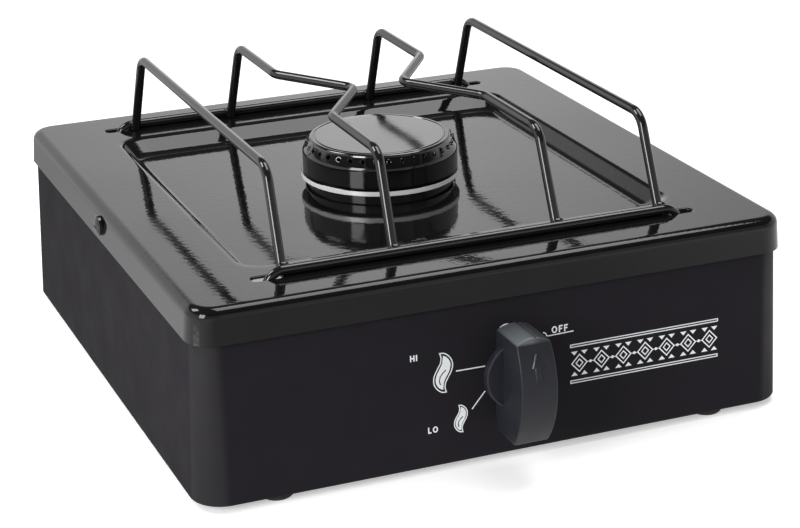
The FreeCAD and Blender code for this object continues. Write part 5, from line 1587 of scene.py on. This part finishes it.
# %% From outlines to marks
def flat_mesh(name, outlines):
    """The thin closed mesh between closed outlines of flat points."""
    curve = bpy.data.curves.new(name, "CURVE")
    curve.dimensions = "2D"
    curve.fill_mode = "BOTH"
    for outline in outlines:
        spline = curve.splines.new("POLY")
        spline.points.add(len(outline) - 1)
        for point, place in zip(spline.points, outline):
            point.co = (place[0] * MM, place[1] * MM, 0.0, 1.0)
        spline.use_cyclic_u = True
    curve.extrude = PRINT_HEIGHT * MM
    flat = new_object(name + "_flat", curve)
    mesh = evaluated_mesh(flat)
    remove(flat)
    return mesh


def on_stove(name, mesh, x=0.0, y=0.0):
    """Sets a flat mesh on the leaning panel, moved to a flat place in metres, and hands it over."""
    low = Matrix.Translation((0.0, -HOUSING_HALF[1] * MM, BASE_Z * MM))
    stand = Matrix.Rotation(math.pi / 2 - PANEL_LEAN, 4, "X")
    mesh.transform(low @ stand @ Matrix.Translation((x, y, 0.0)))
    hand_over(outward(new_object(name, mesh, WHITE_PRINT)), "stove", "body_black")


def printed(name, *outlines):
    on_stove(name, flat_mesh(name, outlines))


def printed_ribbon(name, outer, inner):
    """A closed stroke between two outlines with the same number of points."""
    levels = [(outer, -1), (outer, 1), (inner, 1), (inner, -1)]
    points = [(p.x, p.y, side * PRINT_HEIGHT) for outline, side in levels for p in outline]
    on_stove(name, plain_mesh(name, points, faces=lofted([outer] * 4, closed=True)))


# %% [markdown]
# The dial has three words. A letter is a few straight strokes on a grid one unit high, and an O
# is an oval with a smaller one left out. That keeps every letter a plain shape, and a word is
# only a row of them, scaled to its height and centred on its place.

# %% Letters
STROKE = 0.2
LETTER_GAP = 0.22
# The width of each letter that is one unit high, and where its straight strokes start and end.
UPRIGHT = ((0.1, 0), (0.1, 1))
LETTERS = {
    "H": (0.74, [UPRIGHT, ((0.64, 0), (0.64, 1)), ((0.21, 0.5), (0.53, 0.5))]),
    "I": (0.2, [UPRIGHT]),
    "L": (0.56, [UPRIGHT, ((0.21, 0.1), (0.56, 0.1))]),
    "F": (0.58, [UPRIGHT, ((0.21, 0.9), (0.58, 0.9)), ((0.21, 0.5), (0.5, 0.5))]),
    "O": (0.84, []),
}


def ribbon(points, width):
    """The closed outline of a stroke along a path."""
    sides = ([], [])
    for k, point in enumerate(points):
        along = Vector(points[min(k + 1, len(points) - 1)]) - Vector(points[max(k - 1, 0)])
        across = Vector((-along.y, along.x)).normalized() * width / 2
        sides[0].append(Vector(point) - across)
        sides[1].append(Vector(point) + across)
    return sides[0] + sides[1][::-1]


def letter_outlines(letter):
    """The outlines of a letter one unit high, and its width."""
    width, strokes = LETTERS[letter]
    shapes = [ribbon(stroke, STROKE) for stroke in strokes]
    if letter == "O":
        middle = Vector((width, 1.0)) / 2
        for less in (0, STROKE):
            oval = circle(32, width / 2 - less, 0.5 - less)
            shapes.append([middle + Vector(p) for p in oval])
    return shapes, width


# %% The words
# Each word, the point of the panel at its middle, and its height.
WORDS = {
    "off_word": ("OFF", (28.3, 61.2), 3.5),
    "high_word": ("HI", (-46.6, 59.3), 3.1),
    "low_word": ("LO", (-38.0, 22.0), 3.1),
}


def make_word(name, body, place, height):
    """A generic word centred on a point of the panel."""
    total = sum(LETTERS[letter][0] for letter in body) + LETTER_GAP * (len(body) - 1)
    left = on_panel(*place) - Vector((total, 1.0)) * height / 2
    outlines = []
    for letter in body:
        shapes, width = letter_outlines(letter)
        outlines += [[p * height + left for p in shape] for shape in shapes]
        left = left + Vector(((width + LETTER_GAP) * height, 0))
    printed(name, *outlines)


for word_name, word in WORDS.items():
    make_word(word_name, *word)

# %% [markdown]
# A large and a small flame mark the two burning positions. A flame looks the same after half a
# turn, so one side of it is enough for its outline. A smooth curve runs through the points, and
# only the two tips stay sharp.

# %% The flame's outlines
FLAME_RIM = [(-1.8, 10.1, "sharp"), (0.9, 9.8), (3.3, 8.0), (4.9, 5.4), (5.1, 2.6)]
FLAME_RIM += [(4.4, 0.1), (2.8, -2.7), (1.5, -5.0), (1.1, -7.5)]
FLAME_CORE = [(0.0, 8.9, "sharp"), (2.4, 7.4), (3.9, 4.9), (4.0, 2.6), (3.3, 0.2), (1.8, -2.4)]
FLAME_CORE += [(0.6, -4.8)]
FLAME_CURL = [(1.5, 1.2), (0.0, 0.0), (-1.5, -1.8), (-2.0, -3.8), (-1.5, -5.9)]
CURVE_STEPS = 8


def rounded_outline(points):
    """A smooth closed outline through the points, which stay sharp where they are marked."""
    outline = []
    count = len(points)
    for k in range(count):
        p0, p1, p2, p3 = (Vector(points[(k + shift) % count][:2]) for shift in (-1, 0, 1, 2))
        sharp_start = len(points[k]) > 2
        sharp_end = len(points[(k + 1) % count]) > 2
        slope1 = (p2 - p1) if sharp_start else (p2 - p0) / 2
        slope2 = (p2 - p1) if sharp_end else (p3 - p1) / 2
        for step in range(CURVE_STEPS):
            t = step / CURVE_STEPS
            started = p1 * (2 * t**3 - 3 * t**2 + 1) + slope1 * (t**3 - 2 * t**2 + t)
            outline.append(started + p2 * (-2 * t**3 + 3 * t**2) + slope2 * (t**3 - t**2))
    return outline


def half_turned(side):
    """A smooth closed outline from one side and the same side turned by half a turn."""
    return rounded_outline(side + [(-px, -pz, *mark) for px, pz, *mark in side])


# %% The flames
FLAME_STROKE = 0.55
CORE_GAP = 0.25
# The middle of each flame on the panel, and its size.
FLAMES = {"high_flame": ((-32.1, 49.6), 1.0), "low_flame": ((-23.7, 25.1), 0.7)}


def flame_marks(name, place, scale):
    """A waving flame: a thin rim, and inside it a filled core with a curl left out."""

    def placed(outline):
        return [Vector(p) * scale + on_panel(*place) for p in outline]

    def drawn_in(outline, amount):
        return inset(outline[::-1], amount)[::-1]

    rim = half_turned(FLAME_RIM)
    printed_ribbon(name + "_rim", placed(rim), placed(drawn_in(rim, FLAME_STROKE / scale)))
    core = drawn_in(half_turned(FLAME_CORE), CORE_GAP)
    printed(name + "_core", placed(core), placed(ribbon(FLAME_CURL, FLAME_STROKE / scale)))


for flame_name, flame in FLAMES.items():
    flame_marks(flame_name, *flame)

# %% Lines and the dot
# Each line's points on the panel and its width.
LINES = {
    "high_line": ([(-25.5, 49.3), (-10.7, 49.2)], 0.6),
    "low_line": ([(-17.9, 28.8), (-11.0, 36.7)], 0.6),
    "off_line": ([(35.5, 58.9), (22.0, 58.6), (21.4, 58.9), (20.9, 60.2), (19.5, 60.8)], 0.55),
}
DOT_PLACE = (0.5, 64.0)
DOT_RADIUS = 4.5
for line_name, (path, width) in LINES.items():
    printed(line_name, ribbon([on_panel(*point) for point in path], width))
printed("off_dot", [on_panel(*DOT_PLACE) + Vector(p) for p in circle(40, DOT_RADIUS)])

# %% [markdown]
# ## The ornamental band
#
# To the right of the knob runs a traditional woven band: nested diamonds joined by a dash with a
# dot, small triangles above and below, and a double border. The motif repeats seven times at an
# even pitch, so a tree copies it along the band. The borders have no repeat and are two outlines.

# %% The band's motif
BAND_PITCH = 11.78
# The width and height of each diamond, from the largest to the smallest.
DIAMONDS = ((8.9, 9.5), (7.3, 7.8), (4.4, 4.8), (2.9, 3.1))
TRIANGLE_X = 2.65
TRIANGLE_HALF = 1.75
TRIANGLE_RISE = (6.2, 4.2)
DASH_REACH = (BAND_PITCH - 8.6) / 2
DASH_START = 0.72
DASH_HALF = 0.2
LINK_DOT = 0.75


def motif_outlines():
    """One motif about its own middle: nested diamonds, and triangles over and under them."""
    outlines = []
    for width, height in DIAMONDS:
        corners = ((width / 2, 0), (0, height / 2), (-width / 2, 0), (0, -height / 2))
        outlines.append([Vector(p) for p in corners])
    base, tip = TRIANGLE_RISE
    for x in (-TRIANGLE_X, TRIANGLE_X):
        for side in (1, -1):
            corners = ((x - TRIANGLE_HALF, base), (x + TRIANGLE_HALF, base), (x, tip))
            outlines.append([Vector((px, side * up)) for px, up in corners])
    return outlines


def link_outlines():
    """The dash and dot between two motifs, about the middle between them."""
    ends = ((DASH_REACH, -1), (DASH_START, -1), (DASH_START, 1), (DASH_REACH, 1))
    dashes = [[Vector((side * x, up * DASH_HALF)) for x, up in ends] for side in (-1, 1)]
    return [[Vector(p) for p in circle(16, LINK_DOT)], *dashes]


# %% Repeating the motif
BAND_LEFT = 38.5
BAND_MIDDLE_Z = 42.1
BAND_REPEATS = 7


def repeat_tree():
    """Copies the input along X at an even pitch."""
    sizes = {"Repeats": BAND_REPEATS, "Pitch": BAND_PITCH * MM, "Material": WHITE_PRINT}
    tree, given = size_tree("woven_band", sizes)
    steps = {"Count": given["Repeats"], "Offset": joined(tree, given["Pitch"])}
    row = add(tree, "GeometryNodeMeshLine", steps)[0]
    return closed_tree(tree, copies(tree, row, given["Geometry"]), given["Material"])


def band_part(name, outlines, start_x, repeats):
    """A flat motif, copied along the band, then set on the panel."""
    row = grown(new_object(name, flat_mesh(name, outlines), WHITE_PRINT), BAND_TREE, repeats=repeats)
    mesh = row.data.copy()
    remove(row)
    place = on_panel(start_x, BAND_MIDDLE_Z) * MM
    on_stove(name, mesh, place.x, place.y)


BAND_TREE = repeat_tree()
band_part("band_motifs", motif_outlines(), BAND_LEFT, BAND_REPEATS)
band_part("band_links", link_outlines(), BAND_LEFT + BAND_PITCH / 2, BAND_REPEATS - 1)

# %% The band's borders
BAND_ENDS = (33.6, 113.9)
# The two heights of each border from the band's middle, and the stroke of its outline.
BORDERS = ((8.3, 10.0), (-10.0, -8.3))
BORDER_STROKE = 0.5


def border(low, high):
    """A long thin rectangle drawn as a line, as its outer and its inner outline."""
    left, right = BAND_ENDS
    corners = [(left, low), (right, low), (right, high), (left, high)]
    outer = [on_panel(x, BAND_MIDDLE_Z + z) for x, z in corners]
    shrink = [(1, 1), (-1, 1), (-1, -1), (1, -1)]
    return [outer, [p + Vector(s) * BORDER_STROKE for p, s in zip(outer, shrink)]]


printed("band_borders", *border(*BORDERS[0]), *border(*BORDERS[1]))

# %% [markdown]
# ## Finishes for the pieces inside
#
# The remaining pieces keep their modelled shape, and only get their finish. A node's mesh is
# never changed here: the finish goes on its material slots.

# %% Finishes on the nodes
NODE_FINISHES = (
    (RUBBER, ("front_left_foot", "front_right_foot", "rear_left_foot", "rear_right_foot")),
    (SPRING_STEEL, ("cooktop_clips", "knob_clip")),
    (ZINC, ("burner_strap", "burner_screws", "mixer_tube", "air_shutter", "valve_bracket")),
    (ZINC, ("inlet_bracket", "bracket_screws", "valve_cover", "valve_cover_screws")),
    (BRASS, ("valve_body", "valve_plug", "valve_stem", "injector", "valve_pipe_nut")),
    (BRASS, ("inlet_pipe_nut", "inlet_fitting", "inlet_locknut")),
    (COPPER, ("supply_pipe",)),
)
finished = 0
for node_finish, node_names in NODE_FINISHES:
    for node_name in node_names:
        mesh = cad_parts[node_name].data
        if not mesh.materials:
            mesh.materials.append(node_finish)
        for slot_number in range(len(mesh.materials)):
            mesh.materials[slot_number] = node_finish
        finished += 1
print("nodes with a finish:", finished)

# %% [markdown]
# ## Finish the scene
#
# Colours are shown as they are.

# %% Colours and the end
bpy.context.scene.view_settings.view_transform = "Standard"
